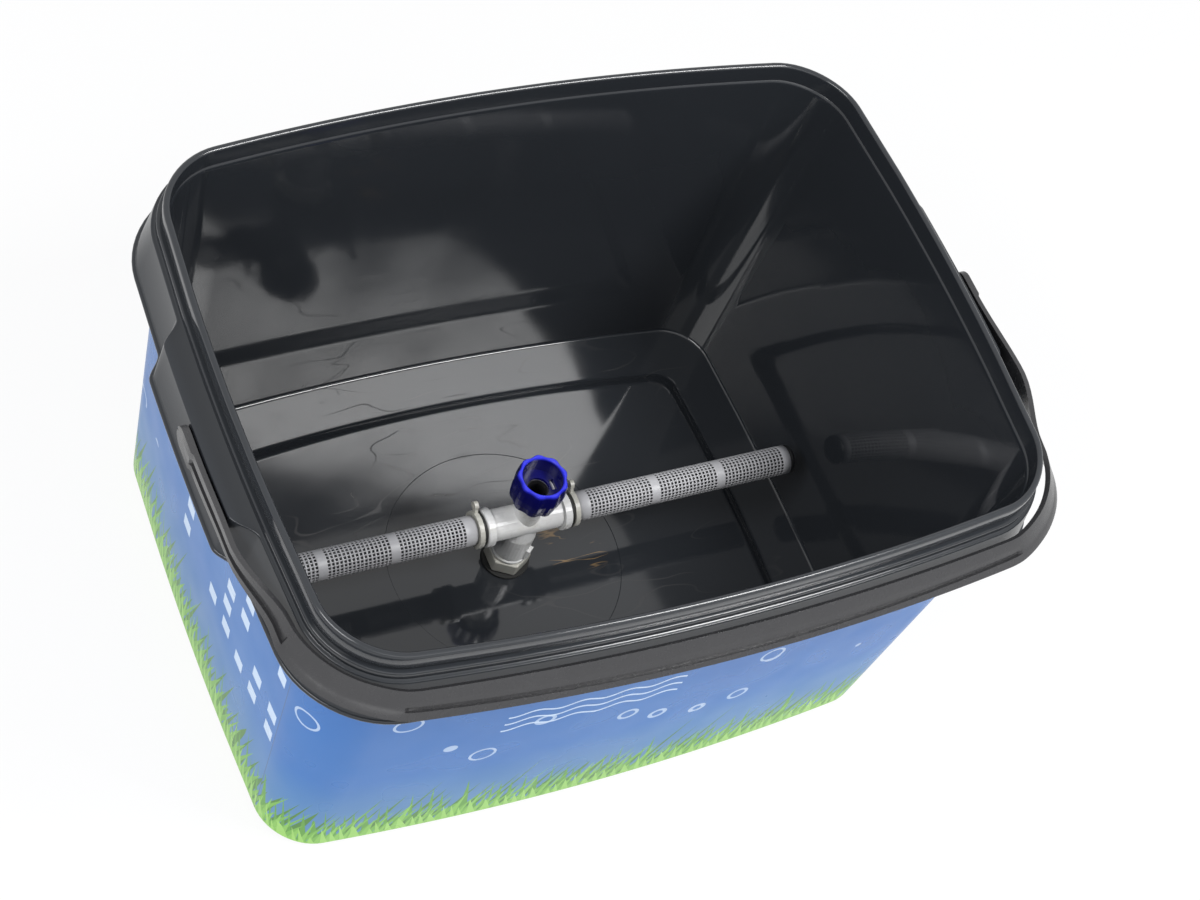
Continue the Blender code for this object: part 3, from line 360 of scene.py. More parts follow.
class Finish:
    """A Principled material whose nodes are added one by one."""

    def __init__(self, name):
        self.material = bpy.data.materials.new(name)
        self.material.use_nodes = True
        self.nodes = self.material.node_tree.nodes
        self.links = self.material.node_tree.links
        self.shader = self.nodes["Principled BSDF"]
        self.place = self.nodes.new("ShaderNodeTexCoord")

    def noise(self, scale, detail, stretch=(1.0, 1.0, 1.0), source="Object"):
        """A noise value from 0 to 1; scale is in features per metre."""
        place = self.nodes.new("ShaderNodeMapping")
        place.inputs["Scale"].default_value = stretch
        self.links.new(self.place.outputs[source], place.inputs["Vector"])
        texture = self.nodes.new("ShaderNodeTexNoise")
        texture.inputs["Scale"].default_value = scale
        texture.inputs["Detail"].default_value = detail
        self.links.new(place.outputs["Vector"], texture.inputs["Vector"])
        return texture.outputs["Fac"]

    def noise_along(self, value, scale, seed):
        """A noise value that varies along one length only."""
        texture = self.nodes.new("ShaderNodeTexNoise")
        texture.noise_dimensions = '1D'
        texture.inputs["Scale"].default_value = scale
        texture.inputs["Detail"].default_value = 1.0
        self.links.new(self.math('ADD', value, seed), texture.inputs["W"])
        return texture.outputs["Fac"]

    def cells(self, place, scale, scatter, square=False):
        """Scattered cells: the distance from a cell's middle, and two chance values of each cell."""
        texture = self.nodes.new("ShaderNodeTexVoronoi")
        if square:
            texture.voronoi_dimensions = '2D'
            texture.distance = 'CHEBYCHEV'
        texture.inputs["Scale"].default_value = scale
        texture.inputs["Randomness"].default_value = scatter
        self.links.new(place, texture.inputs["Vector"])
        chance = self.nodes.new("ShaderNodeSeparateColor")
        self.links.new(texture.outputs["Color"], chance.inputs["Color"])
        return texture.outputs["Distance"], chance.outputs["Red"], chance.outputs["Green"]

    def remap(self, value, low, high, to_low=0.0, to_high=1.0):
        """Stretches a value's range to another, clamped at both ends."""
        node = self.nodes.new("ShaderNodeMapRange")
        span = {"From Min": low, "From Max": high, "To Min": to_low, "To Max": to_high}
        for key, number in span.items():
            node.inputs[key].default_value = number
        self.links.new(value, node.inputs["Value"])
        return node.outputs["Result"]

    def drift(self, scale, detail, low, high):
        """A value that drifts between two others."""
        return self.remap(self.noise(scale, detail), *NOISE_RANGE, low, high)

    def math(self, operation, *values):
        """One arithmetic node; each value is a number or another node's output."""
        node = self.nodes.new("ShaderNodeMath")
        node.operation = operation
        for slot, value in enumerate(values):
            if isinstance(value, (int, float)):
                node.inputs[slot].default_value = value
            else:
                self.links.new(value, node.inputs[slot])
        return node.outputs["Value"]

    def product(self, value, *others):
        """All the values multiplied together."""
        for other in others:
            value = self.math('MULTIPLY', value, other)
        return value

    def between(self, value, low, high):
        """1 where a value lies between two limits, 0 elsewhere."""
        return self.product(self.math('GREATER_THAN', value, low), self.math('LESS_THAN', value, high))

    def blend(self, share, first, second):
        """A colour between two, by a share."""
        node = self.nodes.new("ShaderNodeMix")
        node.data_type = 'RGBA'
        self.links.new(share, node.inputs["Factor"])
        for key, value in (("A", first), ("B", second)):
            socket = [item for item in node.inputs if item.name == key and item.type == 'RGBA'][0]
            if isinstance(value, tuple):
                socket.default_value = (*value, 1.0)
            else:
                self.links.new(value, socket)
        return [item for item in node.outputs if item.type == 'RGBA'][0]

    def colour(self, output):
        """Links a colour to the shader."""
        self.links.new(output, self.shader.inputs["Base Color"])

    def roughness(self, output):
        """Links a roughness to the shader."""
        self.links.new(output, self.shader.inputs["Roughness"])

    def grain(self, scale, detail, depth):
        """Gives the surface a fine grain or slow waves."""
        node = self.nodes.new("ShaderNodeBump")
        node.inputs["Distance"].default_value = depth
        self.links.new(self.noise(scale, detail), node.inputs["Height"])
        self.links.new(node.outputs["Normal"], self.shader.inputs["Normal"])

    def attribute(self, name):
        """A number that the mesh carries on its vertices."""
        node = self.nodes.new("ShaderNodeAttribute")
        node.attribute_name = name
        return node.outputs["Fac"]

    def axes(self, source="Object"):
        """The three coordinates of the object, or of its UV map, in metres."""
        split = self.nodes.new("ShaderNodeSeparateXYZ")
        self.links.new(self.place.outputs[source], split.inputs["Vector"])
        return split.outputs["X"], split.outputs["Y"], split.outputs["Z"]

    def height(self):
        """The height above the ground, in metres."""
        return self.axes()[2]

    def distance_from(self, place, across=(1.0, 1.0, 1.0)):
        """The distance from a place, or from the line through it along an axis whose across is 0."""
        flat = self.nodes.new("ShaderNodeVectorMath")
        flat.operation = 'MULTIPLY'
        self.links.new(self.place.outputs["Object"], flat.inputs[0])
        flat.inputs[1].default_value = across
        node = self.nodes.new("ShaderNodeVectorMath")
        node.operation = 'DISTANCE'
        self.links.new(flat.outputs["Vector"], node.inputs[0])
        node.inputs[1].default_value = place
        return node.outputs["Value"]

    def hairlines(self, scale, stretch, width):
        """1 along thin wandering lines, where a noise passes its middle value."""
        value = self.noise(scale, HAIRLINE_DETAIL, stretch)
        off_middle = self.math('ABSOLUTE', self.math('SUBTRACT', value, 0.5))
        return self.remap(off_middle, width, width / 3)


def moulded(name, tone, pale, gloss):
    """Plain moulded plastic: a slight drift in colour and gloss and a fine grain."""
    finish = Finish(name)
    finish.colour(finish.blend(finish.noise(*TONE_DRIFT), tone, pale))
    finish.roughness(finish.drift(*gloss))
    finish.grain(*SOFT_GRAIN)
    return finish.material


def tub_scuffs(finish):
    """Pale scuffs in patches on the raised panel of the floor."""
    patches = finish.remap(finish.noise(*SCUFF_PATCHES), *SCUFF_RANGE)
    low = finish.remap(finish.height(), SCUFF_TOP, PANEL_TOP + MM)
    return finish.product(finish.hairlines(*SCUFF_LINES), patches, low, SCUFF_SHARE)


def tub_scratches(finish):
    """Thin dark scratches low down towards the back left."""
    spots = finish.remap(finish.noise(*SCRATCH_SPOTS), *SCRATCH_RANGE, 0.0, SCRATCH_SHARE)
    worn = finish.remap(finish.distance_from(SCRATCH_PLACE), SCRATCH_REACH, SCRATCH_REACH / 2)
    low = finish.remap(finish.height(), SCRATCH_TOP, SCRATCH_TOP / 2)
    return finish.product(finish.hairlines(*SCRATCH_LINES), spots, worn, low)


def tub_plastic():
    """Glossy anthracite plastic with slow waves in it, and wear inside the tub."""
    finish = Finish("anthracite plastic")
    finish.shader.inputs["IOR"].default_value = TUB_IOR
    scuffs = tub_scuffs(finish)
    scratches = tub_scratches(finish)
    ground = finish.blend(finish.noise(*TUB_DRIFT), TUB_DEEP, TUB_PALE)
    ground = finish.blend(scuffs, ground, SCUFF_TONE)
    for place in RUST_PLACES:
        near = finish.remap(finish.distance_from(place), RUST_REACH, RUST_REACH / 3)
        rust = finish.product(near, finish.hairlines(*RUST_LINES))
        ground = finish.blend(rust, ground, RUST_TONE)
    finish.colour(finish.blend(scratches, ground, SCRATCH_TONE))
    outside = finish.attribute(OUTSIDE)
    shine = finish.remap(outside, 0.0, 1.0, INSIDE_SHINE, OUTSIDE_SHINE)
    finish.links.new(shine, finish.shader.inputs["Specular IOR Level"])
    dullness = finish.drift(*TUB_GLOSS)
    for share, gain in ((outside, OUTSIDE_DULL), (scratches, SCRATCH_DULL), (scuffs, SCUFF_DULL)):
        dullness = finish.math('ADD', dullness, finish.product(share, gain))
    finish.roughness(dullness)
    finish.grain(*TUB_WAVES)
    return finish.material


def strap_plastic():
    """Duller plastic of the bail, with a fine grain."""
    finish = Finish("strap plastic")
    finish.colour(finish.blend(finish.noise(*STRAP_DRIFT), STRAP_TONE, STRAP_PALE))
    finish.roughness(finish.drift(*STRAP_GLOSS))
    finish.grain(*STRAP_GRAIN)
    return finish.material


def blades(finish, along, height, base, reach, pitch, lean, shift):
    """1 inside a row of slender leaning points along the film's foot, 0 between and above them."""
    sheared = finish.math('SUBTRACT', along, finish.product(height, lean))
    row = finish.math('ADD', finish.product(sheared, 1.0 / pitch), shift)
    sway = finish.noise_along(sheared, BLADE_SWAY_PACE / pitch, shift)
    row = finish.math('ADD', row, finish.product(sway, BLADE_SWAY))
    off_middle = finish.math('ABSOLUTE', finish.math('SUBTRACT', finish.math('FRACT', row), 0.5))
    tooth = finish.math('SUBTRACT', 1.0, finish.product(off_middle, BLADE_TAPER))
    tooth = finish.math('MAXIMUM', tooth, 0.0)
    tall = finish.noise_along(sheared, BLADE_TALL_PACE / pitch, BLADE_TALL_SEED + shift)
    tall = finish.remap(tall, *BLADE_TALL_RANGE, BLADE_SHORTEST, 1.0)
    tip = finish.math('ADD', finish.product(tooth, tall, reach), base)
    return finish.math('GREATER_THAN', tip, height)


def pale_rings(finish, height):
    """1 on rings scattered over the film, above its foot."""
    distance, chance = finish.cells(finish.place.outputs["UV"], RING_CELLS, RING_SCATTER)[:2]
    chosen = finish.math('GREATER_THAN', chance, RINGS_LEFT_OUT)
    above = finish.math('GREATER_THAN', height, RING_FOOT)
    return finish.product(finish.between(distance, *RING_SPAN), chosen, above, RING_SHARE)


def wave_lines(finish, along, height):
    """1 on pale wavy lines on the front."""
    turn = finish.product(along, 2 * math.pi / WAVE_LENGTH)
    level = finish.math('SUBTRACT', height, finish.product(finish.math('SINE', turn), WAVE_SWING))
    lines = 0.0
    for place in WAVE_HEIGHTS:
        lines = finish.math('ADD', lines, finish.between(level, place, place + WAVE_WIDTH))
    return finish.product(lines, finish.between(along, *WAVE_SPAN), PRINT_SHARE)


def side_tiles(finish):
    """Small square tiles on the left side: where they are and what colour each has."""
    out, along, height = finish.axes()
    flat = finish.nodes.new("ShaderNodeCombineXYZ")
    finish.links.new(along, flat.inputs["X"])
    finish.links.new(height, flat.inputs["Y"])
    distance, hue_chance, chance = finish.cells(flat.outputs["Vector"], TILE_CELLS, TILE_SCATTER, True)
    tiles = finish.product(finish.math('LESS_THAN', distance, TILE_HALF),
                           finish.math('GREATER_THAN', chance, TILES_LEFT_OUT),
                           finish.math('LESS_THAN', out, TILE_FACE_X),
                           finish.between(along, *TILE_SPAN),
                           finish.between(height, *TILE_RISE), PRINT_SHARE)
    hue = finish.blend(finish.math('GREATER_THAN', hue_chance, TILE_RED_FROM), FILM_PALE, TILE_RED)
    hue = finish.blend(finish.math('GREATER_THAN', hue_chance, TILE_YELLOW_FROM), hue, TILE_YELLOW)
    return tiles, hue


def printed_film():
    """The film's print: a graded blue ground, rings, waves and tiles, and green points at its foot."""
    finish = Finish("printed film")
    finish.shader.inputs["IOR"].default_value = FILM_IOR
    along, height = finish.axes("UV")[:2]
    lift = finish.remap(height, *LIFT_HEIGHTS, *LIFT_SHARES)
    cloud = finish.remap(finish.noise(*CLOUDS, source="UV"), *NOISE_RANGE, *CLOUD_SHARES)
    picture = finish.blend(finish.math('ADD', lift, cloud), FILM_DEEP, FILM_BRIGHT)
    haze = finish.remap(height, *HAZE_HEIGHTS, 0.0, HAZE_SHARE)
    picture = finish.blend(haze, picture, FILM_HAZE)
    picture = finish.blend(pale_rings(finish, height), picture, FILM_PALE)
    picture = finish.blend(wave_lines(finish, along, height), picture, FILM_PALE)
    tiles, hue = side_tiles(finish)
    picture = finish.blend(tiles, picture, hue)
    for base, reach, pitch, lean, shift, tone in GREEN_ROWS:
        row = blades(finish, along, height, base, reach, pitch, lean, shift)
        picture = finish.blend(row, picture, tone)
    seam = finish.product(finish.math('LESS_THAN', along, SEAM_WIDTH), SEAM_SHARE)
    finish.colour(finish.blend(seam, picture, SEAM_TONE))
    finish.roughness(finish.drift(*FILM_GLOSS))
    finish.grain(*FILM_WAVES)
    return finish.material


def white_plastic():
    """Bright moulded plastic, a little stained in patches, with painted shade down its bore, where little
    light reaches.
    """
    finish = Finish("white plastic")
    stain = finish.remap(finish.noise(*STAINS), *STAIN_RANGE)
    tone = finish.blend(stain, WHITE_TONE, STAIN_TONE)
    off_axis = finish.distance_from((0.0, 0.0, 0.0), across=(1.0, 1.0, 0.0))
    # painted shade: the colour darkens towards the bore's axis
    bore = finish.remap(off_axis, BORE_REACH, BORE_REACH - BORE_FADE)
    finish.colour(finish.blend(bore, tone, BORE_SHADE_TONE))
    finish.roughness(finish.drift(*WHITE_GLOSS))
    finish.grain(*HARD_GRAIN)
    return finish.material


def collar_plastic():
    """Deep blue plastic with a painted glow of light along its thin upper rim."""
    finish = Finish("blue plastic")
    # painted highlight: the colour brightens towards the top of the rim
    rim = finish.remap(finish.height(), RIM_HIGHLIGHT_FOOT, RIM_HIGHLIGHT_FULL)
    body = finish.blend(finish.noise(*TONE_DRIFT), BLUE_DEEP, BLUE_BODY)
    finish.colour(finish.blend(rim, body, BLUE_RIM_HIGHLIGHT))
    finish.roughness(finish.drift(*BLUE_GLOSS))
    finish.grain(*HARD_GRAIN)
    return finish.material


def mesh_plastic():
    """Light grey plastic of the sleeves, with painted shade on their inner face, which shows through the
    holes.
    """
    finish = Finish("grey mesh plastic")
    outer = finish.blend(finish.noise(*TONE_DRIFT), MESH_TONE, MESH_PALE)
    off_axis = finish.distance_from((0.0, 0.0, SLEEVE_AXIS_HEIGHT), across=(0.0, 1.0, 1.0))
    # painted shade: the inner face of the wall is darkened
    inside = finish.remap(off_axis, SLEEVE_RADIUS - MESH_EDGE, SLEEVE_RADIUS - MESH_DEPTH)
    finish.colour(finish.blend(inside, outer, MESH_INSIDE_SHADE))
    finish.roughness(finish.drift(*MESH_GLOSS))
    finish.grain(*SOFT_GRAIN)
    return finish.material


FINISHES = {
    "tub": tub_plastic(),
    "film": printed_film(),
    "strap": strap_plastic(),
    "white": white_plastic(),
    "cream": moulded("cream plastic", CREAM_TONE, CREAM_PALE, CREAM_GLOSS),
    "blue": collar_plastic(),
    "grey": mesh_plastic(),
    "black": moulded("black plastic", BLACK_TONE, BLACK_PALE, BLACK_GLOSS),
    "rubber": moulded("black rubber", RUBBER_TONE, RUBBER_PALE, RUBBER_GLOSS),
}

NODE_FINISHES = {
    "tub": "tub", "printed_label": "film", "bail_handle": "strap", "floor_spigot": "cream",
    "hex_nut": "cream", "thrust_ring": "white", "fitting_body": "white", "grip_ring": "white",
    "collar_nut": "blue", "left_sleeve": "grey", "right_sleeve": "grey", "left_end_cap": "black",
    "right_end_cap": "black", "left_locking_ring": "cream", "right_locking_ring": "cream",
    "floor_gasket": "rubber", "floor_washer": "rubber", "collar_seal": "rubber",
    "left_socket_seal": "rubber", "right_socket_seal": "rubber",
}


def dress_nodes():
    """Gives every CAD node its finish."""
    for node, key in NODE_FINISHES.items():
        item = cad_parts[node]
        item.data.materials.clear()
        item.data.materials.append(FINISHES[key])


def side_stations():
    """Places along a short side, closer together where the pivot housing starts and ends."""
    low = HOUSING_HALF_WIDTH - HOUSING_BLEND
    edge = [mix(HOUSING_END, low, step / HOUSING_EDGE_STEPS) for step in range(HOUSING_EDGE_STEPS + 1)]
    middle_steps = SHORT_SIDE_STEPS // 2
    middle = [mix(low, 0.0, step / middle_steps) for step in range(1, middle_steps + 1)]
    upper = edge + middle
    return upper + [-place for place in reversed(upper[:-1])]


def outline(half_x, half_y, radius, bow_x, bow_y):
    """A rounded rectangle whose sides bow out, from the front left corner, anticlockwise."""
    flat_x = half_x - bow_x
    flat_y = half_y - bow_y

    def bowed(x, y):
        out_y = math.copysign(bow_y * (1.0 - (x / flat_x) ** 2), y)
        out_x = math.copysign(bow_x * (1.0 - (y / flat_y) ** 2), x)
        return x + out_x, y + out_y

    def corner(sign_x, sign_y, start):
        return [bowed(sign_x * (flat_x - radius) + radius * math.cos(start + turn),
                      sign_y * (flat_y - radius) + radius * math.sin(start + turn))
                for turn in arc(0, 90, CORNER_STEPS)]

    def long_side(sign_y):
        reach = flat_x - radius
        shares = [1.0 - 2.0 * step / LONG_SIDE_STEPS for step in range(1, LONG_SIDE_STEPS)]
        return [bowed(sign_y * reach * share, sign_y * flat_y) for share in shares]

    def short_side(sign_x):
        return [bowed(sign_x * flat_x, sign_x * place) for place in reversed(side_stations())]

    return (corner(-1, -1, math.pi) + long_side(-1) + corner(1, -1, 1.5 * math.pi) + short_side(1)
            + corner(1, 1, 0.0) + long_side(1) + corner(-1, 1, math.pi / 2) + short_side(-1))


def levels(low, high):
    """Heights at equal steps along a wall."""
    return [mix(low, high, step / WALL_LEVELS) for step in range(WALL_LEVELS + 1)]


def wall_outset(height):
    """How far the inner face of the wall lies outside the rim's outline at a height."""
    return -LEDGE_INSET - DRAFT * max(TUB_HEIGHT - LEDGE_DROP - height, 0.0)


def tub_ring(outset, height, housing=None):
    """The tub's outline at a height, this far outside the rim's, or further at the housings."""
    share = 1.0 - height / TUB_HEIGHT
    further = 0.0 if housing is None else housing - outset
    from_wall = outset - wall_outset(height)
    radius = max(mix(TOP_CORNER, FLOOR_CORNER, share) + from_wall, STEP_CORNER)
    flat = outline(RIM_LENGTH / 2 + outset, RIM_WIDTH / 2 + outset, radius,
                   mix(TOP_BOW_X, FLOOR_BOW_X, share), mix(TOP_BOW_Y, FLOOR_BOW_Y, share))
    ring = []
    for x, y in flat:
        bulge = 0.0
        if abs(x) > RIM_LENGTH / 2 - SHELF_OUTSET - TOP_CORNER:
            bulge = further * smooth_step((HOUSING_END - abs(y)) / (2 * HOUSING_BLEND))
        ring.append(Vector((x + math.copysign(bulge, x), y, height)))
    return ring


def circle_ring(radius, height, guide):
    """A circle whose points lie in the directions of another ring's points."""
    return [Vector((point.x, point.y, 0.0)).normalized() * radius + Vector((0.0, 0.0, height))
            for point in guide]


def first_ring(bm, places):
    """A closed ring of vertices, set in their places."""
    ring = bmesh.ops.create_circle(bm, segments=len(places), radius=1.0)["verts"]
    for vert, place in zip(ring, places):
        vert.co = place
    return ring


def draw_on(bm, ring, places):
    """Extrudes a closed ring of vertices and sets the new ones in their places; returns them."""
    edges = [bm.edges.get((first, second)) for first, second in zip(ring, ring[1:] + ring[:1])]
    made = bmesh.ops.extrude_edge_only(bm, edges=edges)["geom"]
    fresh = {item for item in made if isinstance(item, bmesh.types.BMVert)}
    following = []
    for vert, place in zip(ring, places):
        after = [edge.other_vert(vert) for edge in vert.link_edges if edge.other_vert(vert) in fresh][0]
        after.co = place
        following.append(after)
    return following


def draw_skin(bm, rings):
    """Draws one ring of vertices on to the next, all the way along; returns the rows."""
    rows = [first_ring(bm, rings[0])]
    for ring in rings[1:]:
        rows.append(draw_on(bm, rows[-1], ring))
    return rows


def piece(name, bm, key, body, *nodes, sharp=SHARP_ANGLE):
    """Makes a smooth-shaded piece of the object that rides on a body and stands for CAD nodes."""
    bmesh.ops.remove_doubles(bm, verts=bm.verts[:], dist=MERGE)
    bmesh.ops.recalc_face_normals(bm, faces=bm.faces[:])
    mesh = bpy.data.meshes.new(name)
    bm.to_mesh(mesh)
    bm.free()
    mesh.shade_smooth()
    mesh.set_sharp_from_angle(angle=math.radians(sharp))
    mesh.materials.append(FINISHES[key])
    item = bpy.data.objects.new(name, mesh)
    bpy.context.scene.collection.objects.link(item)
    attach(item, body)
    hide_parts(*nodes)
    return item


def underside_rings():
    """The raised panel under the floor, the foot ring and the rounding up to the wall."""
    step_outer = wall_outset(FLOOR_WALL) - STEP_INSET
    panel = tub_ring(step_outer - STEP_WIDTH, PANEL_UNDER_RISE)
    rings = [circle_ring(FLOOR_HOLE_RADIUS, PANEL_UNDER_RISE, panel), panel,
             tub_ring(step_outer - WALL, 0.0)]
    for angle in arc(0, 90, ROUND_EDGE_STEPS):
        height = FOOT_RADIUS * (1.0 - math.cos(angle))
        inset = FOOT_RADIUS * (1.0 - math.sin(angle))
        rings.append(tub_ring(wall_outset(height) + WALL - inset, height))
    return rings


def outer_wall_rings():
    """The wall's outer face, behind the printed film."""
    return [tub_ring(wall_outset(height) + WALL, height) for height in levels(LABEL_LOW.z, LABEL_HIGH.z)]


def skirt_rings():
    """The inside of the skirt, its lip, its outer face and the shelf's rounded edge."""
    shelf = TUB_HEIGHT - SHELF_DROP
    shelf_under = shelf - SKIRT_WALL
    skirt_foot = SHELF_OUTSET + SKIRT_FLARE
    foot = TUB_HEIGHT - SKIRT_FOOT_DROP
    housing_foot = HOUSING_REACH + HOUSING_FLARE
    radius = LIP_HEIGHT / 2
    rings = [tub_ring(wall_outset(shelf_under) + WALL, shelf_under),
             tub_ring(SHELF_OUTSET - SKIRT_WALL, shelf_under, HOUSING_REACH - SKIRT_WALL),
             tub_ring(skirt_foot - SKIRT_WALL, foot, housing_foot - SKIRT_WALL)]
    for angle in arc(-90, 90, 2 * ROUND_EDGE_STEPS):
        out = LIP_OUTSET - radius * (1.0 - math.cos(angle))
        height = foot + radius * (1.0 + math.sin(angle))
        rings.append(tub_ring(skirt_foot + out, height, housing_foot + out))
    rings.append(tub_ring(skirt_foot, foot + LIP_HEIGHT + LIP_BLEND, housing_foot))
    for angle in arc(0, 90, ROUND_EDGE_STEPS):
        inset = EDGE_ROUND * (1.0 - math.cos(angle))
        height = shelf - EDGE_ROUND * (1.0 - math.sin(angle))
        rings.append(tub_ring(SHELF_OUTSET - inset, height, HOUSING_REACH - inset))
    return rings


def rim_rings():
    """The ridge above the shelf, the groove, the rounded bead and the ledge inside it."""
    top = TUB_HEIGHT
    ridge = top - RIDGE_DROP
    groove = top - GROOVE_DROP
    radius = BEAD_WIDTH / 2
    rings = [tub_ring(RIDGE_OUTSET + RIDGE_SPREAD, top - SHELF_DROP + RIDGE_SPREAD / 3),
             tub_ring(RIDGE_OUTSET, top - SHELF_DROP + RIDGE_SPREAD)]
    for angle in arc(0, 90, ROUND_EDGE_STEPS):
        rings.append(tub_ring(RIDGE_OUTSET - EDGE_ROUND * (1.0 - math.cos(angle)),
                              ridge - EDGE_ROUND * (1.0 - math.sin(angle))))
    rings += [tub_ring(-GROOVE_DEPTH, ridge), tub_ring(-GROOVE_DEPTH, ridge + GROOVE_DEPTH),
              tub_ring(-GROOVE_DEPTH / 2, groove), tub_ring(0.0, groove + GROOVE_SLOPE)]
    for angle in arc(0, 180, BEAD_STEPS):
        rings.append(tub_ring(-radius * (1.0 - math.cos(angle)), top - radius * (1.0 - math.sin(angle))))
    for angle in arc(0, 90, ROUND_EDGE_STEPS):
        rings.append(tub_ring(-LEDGE_INSET + EDGE_ROUND * (1.0 - math.sin(angle)),
                              top - LEDGE_DROP + LEDGE_SLOPE * (1.0 - math.sin(angle))
                              + EDGE_ROUND * (math.cos(angle) - 1.0) / 2))
    return rings


def floor_rings():
    """The inner wall, the rounding at its foot, the step up to the panel and the shallow disc.

    A flat beside a bend starts with a narrow band of its own, which keeps its gloss flat.
    """
    top = TUB_HEIGHT - LEDGE_DROP - LEDGE_FOOT
    foot = FLOOR_WALL + FLOOR_FILLET
    rings = [tub_ring(wall_outset(height), height) for height in levels(top, foot + BEND_BAND)]
    for angle in arc(0, 90, 2 * ROUND_EDGE_STEPS):
        height = FLOOR_WALL + FLOOR_FILLET * (1.0 - math.sin(angle))
        inset = FLOOR_FILLET * (1.0 - math.cos(angle))
        rings.append(tub_ring(wall_outset(height) - inset, height))
    rings.append(tub_ring(wall_outset(FLOOR_WALL) - FLOOR_FILLET - BEND_BAND, FLOOR_WALL))
    step_outer = wall_outset(FLOOR_WALL) - STEP_INSET
    rings.append(tub_ring(step_outer + BEND_BAND, FLOOR_WALL))
    for along, up in STEP_PROFILE:
        rings.append(tub_ring(step_outer - STEP_WIDTH * along, mix(FLOOR_WALL, PANEL_TOP, up)))
    rings.append(tub_ring(step_outer - STEP_WIDTH - BEND_BAND, PANEL_TOP))
    guide = rings[-1]
    low = PANEL_TOP - DISC_DEPTH
    return rings + [circle_ring(DISC_RADIUS + BEND_BAND, PANEL_TOP, guide),
                    circle_ring(DISC_RADIUS, PANEL_TOP, guide),
                    circle_ring(DISC_RADIUS - DISC_DEPTH, low, guide),
                    circle_ring(DISC_RADIUS - DISC_DEPTH - BEND_BAND, low, guide),
                    circle_ring(FLOOR_HOLE_RADIUS + BEND_BAND, low, guide),
                    circle_ring(FLOOR_HOLE_RADIUS, low, guide)]


def make_tub():
    """The tub with its edges rounded, whose vertices carry how far they are outside."""
    bm = bmesh.new()
    outside = bm.verts.layers.float.new(OUTSIDE)
    parts = ((underside_rings() + outer_wall_rings() + skirt_rings(), 1.0), (rim_rings(), RIM_SHARE),
             (floor_rings(), 0.0))
    rings = [ring for part, share in parts for ring in part]
    shares = [share for part, share in parts for ring in part]
    rows = draw_skin(bm, rings + rings[:1])
    for row, share in zip(rows, shares + shares[:1]):
        for vert in row:
            vert[outside] = share
    piece("moulded_tub", bm, "tub", "tub_body", "tub")


def make_label():
    """The printed film, with a UV map in metres that starts at the seam."""
    inner = WALL + LABEL_GAP
    outer = inner + LABEL_WALL
    heights = levels(LABEL_LOW.z, LABEL_HIGH.z)
    outside = [tub_ring(wall_outset(height) + outer, height) for height in heights]
    inside = [tub_ring(wall_outset(height) + inner, height) for height in reversed(heights)]
    bm = bmesh.new()
    rows = draw_skin(bm, outside + inside + outside[:1])
    middle = outside[WALL_LEVELS // 2]
    lengths = [0.0]
    for first, second in zip(middle, middle[1:] + middle[:1]):
        lengths.append(lengths[-1] + (second - first).length)
    column = {vert: index for row in rows for index, vert in enumerate(row)}
    strip = bm.loops.layers.uv.new("strip")
    for face in bm.faces:
        columns = [column[loop.vert] for loop in face.loops]
        wraps = max(columns) - min(columns) > 1
        for loop, place in zip(face.loops, columns):
            index = len(middle) if wraps and place == 0 else place
            loop[strip].uv = (lengths[index], loop.vert.co.z)
    piece("film", bm, "film", "tub_body", "printed_label")


def bail_plan():
    """Half length, half width and corner radius of the strap's plan, without its bows."""
    return (RIM_LENGTH / 2 + CORNER_REACH - TOP_BOW_X, RIM_WIDTH / 2 + CORNER_REACH - TOP_BOW_Y,
            TOP_CORNER + LEDGE_INSET + CORNER_REACH)


def bail_place(x, forward):
    """A place on the plan, bowed as the rim is and a little further out along the grip."""
    half_x, half_y, radius = bail_plan()
    further = (GRIP_REACH - CORNER_REACH) * smooth_step((half_x - radius / 2 - x) / (radius / 2))
    return (x + TOP_BOW_X * (1.0 - (forward / half_y) ** 2),
            forward + TOP_BOW_Y * (1.0 - (x / half_x) ** 2) + further)


def bail_stations():
    """Places from the right boss to the middle of the grip, as (x, forward, what is there)."""
    half_x, half_y, radius = bail_plan()
    corner_start = half_y - radius
    stations = []
    for step in range(ARM_STEPS + 1):
        forward = mix(BOSS_LENGTH + BOSS_BLEND, corner_start, step / ARM_STEPS)
        inward = smooth_step((forward - HOUSING_END) / (corner_start - HOUSING_END))
        stations.append((mix(ARM_FACE_X, bail_place(half_x, forward)[0], inward), forward, "arm"))
    first = CHANNEL_END_ANGLE + math.degrees(CHANNEL_END_SLOPE / radius)
    turns = [(CHANNEL_END_ANGLE, "arm")]
    for step in range(BAIL_CORNER_STEPS + 1):
        turns.append((mix(first, 90.0 - first, step / BAIL_CORNER_STEPS), "corner"))
    turns.append((90.0 - CHANNEL_END_ANGLE, "grip"))
    for degrees, kind in turns:
        angle = math.radians(degrees)
        x, forward = bail_place(half_x - radius * (1.0 - math.cos(angle)),
                                half_y - radius * (1.0 - math.sin(angle)))
        stations.append((x, forward, kind))
    for step in range(FRONT_STEPS + 1):
        x, forward = bail_place((half_x - radius) * (1.0 - step / FRONT_STEPS), half_y)
        stations.append((x, forward, "grip"))
    return stations


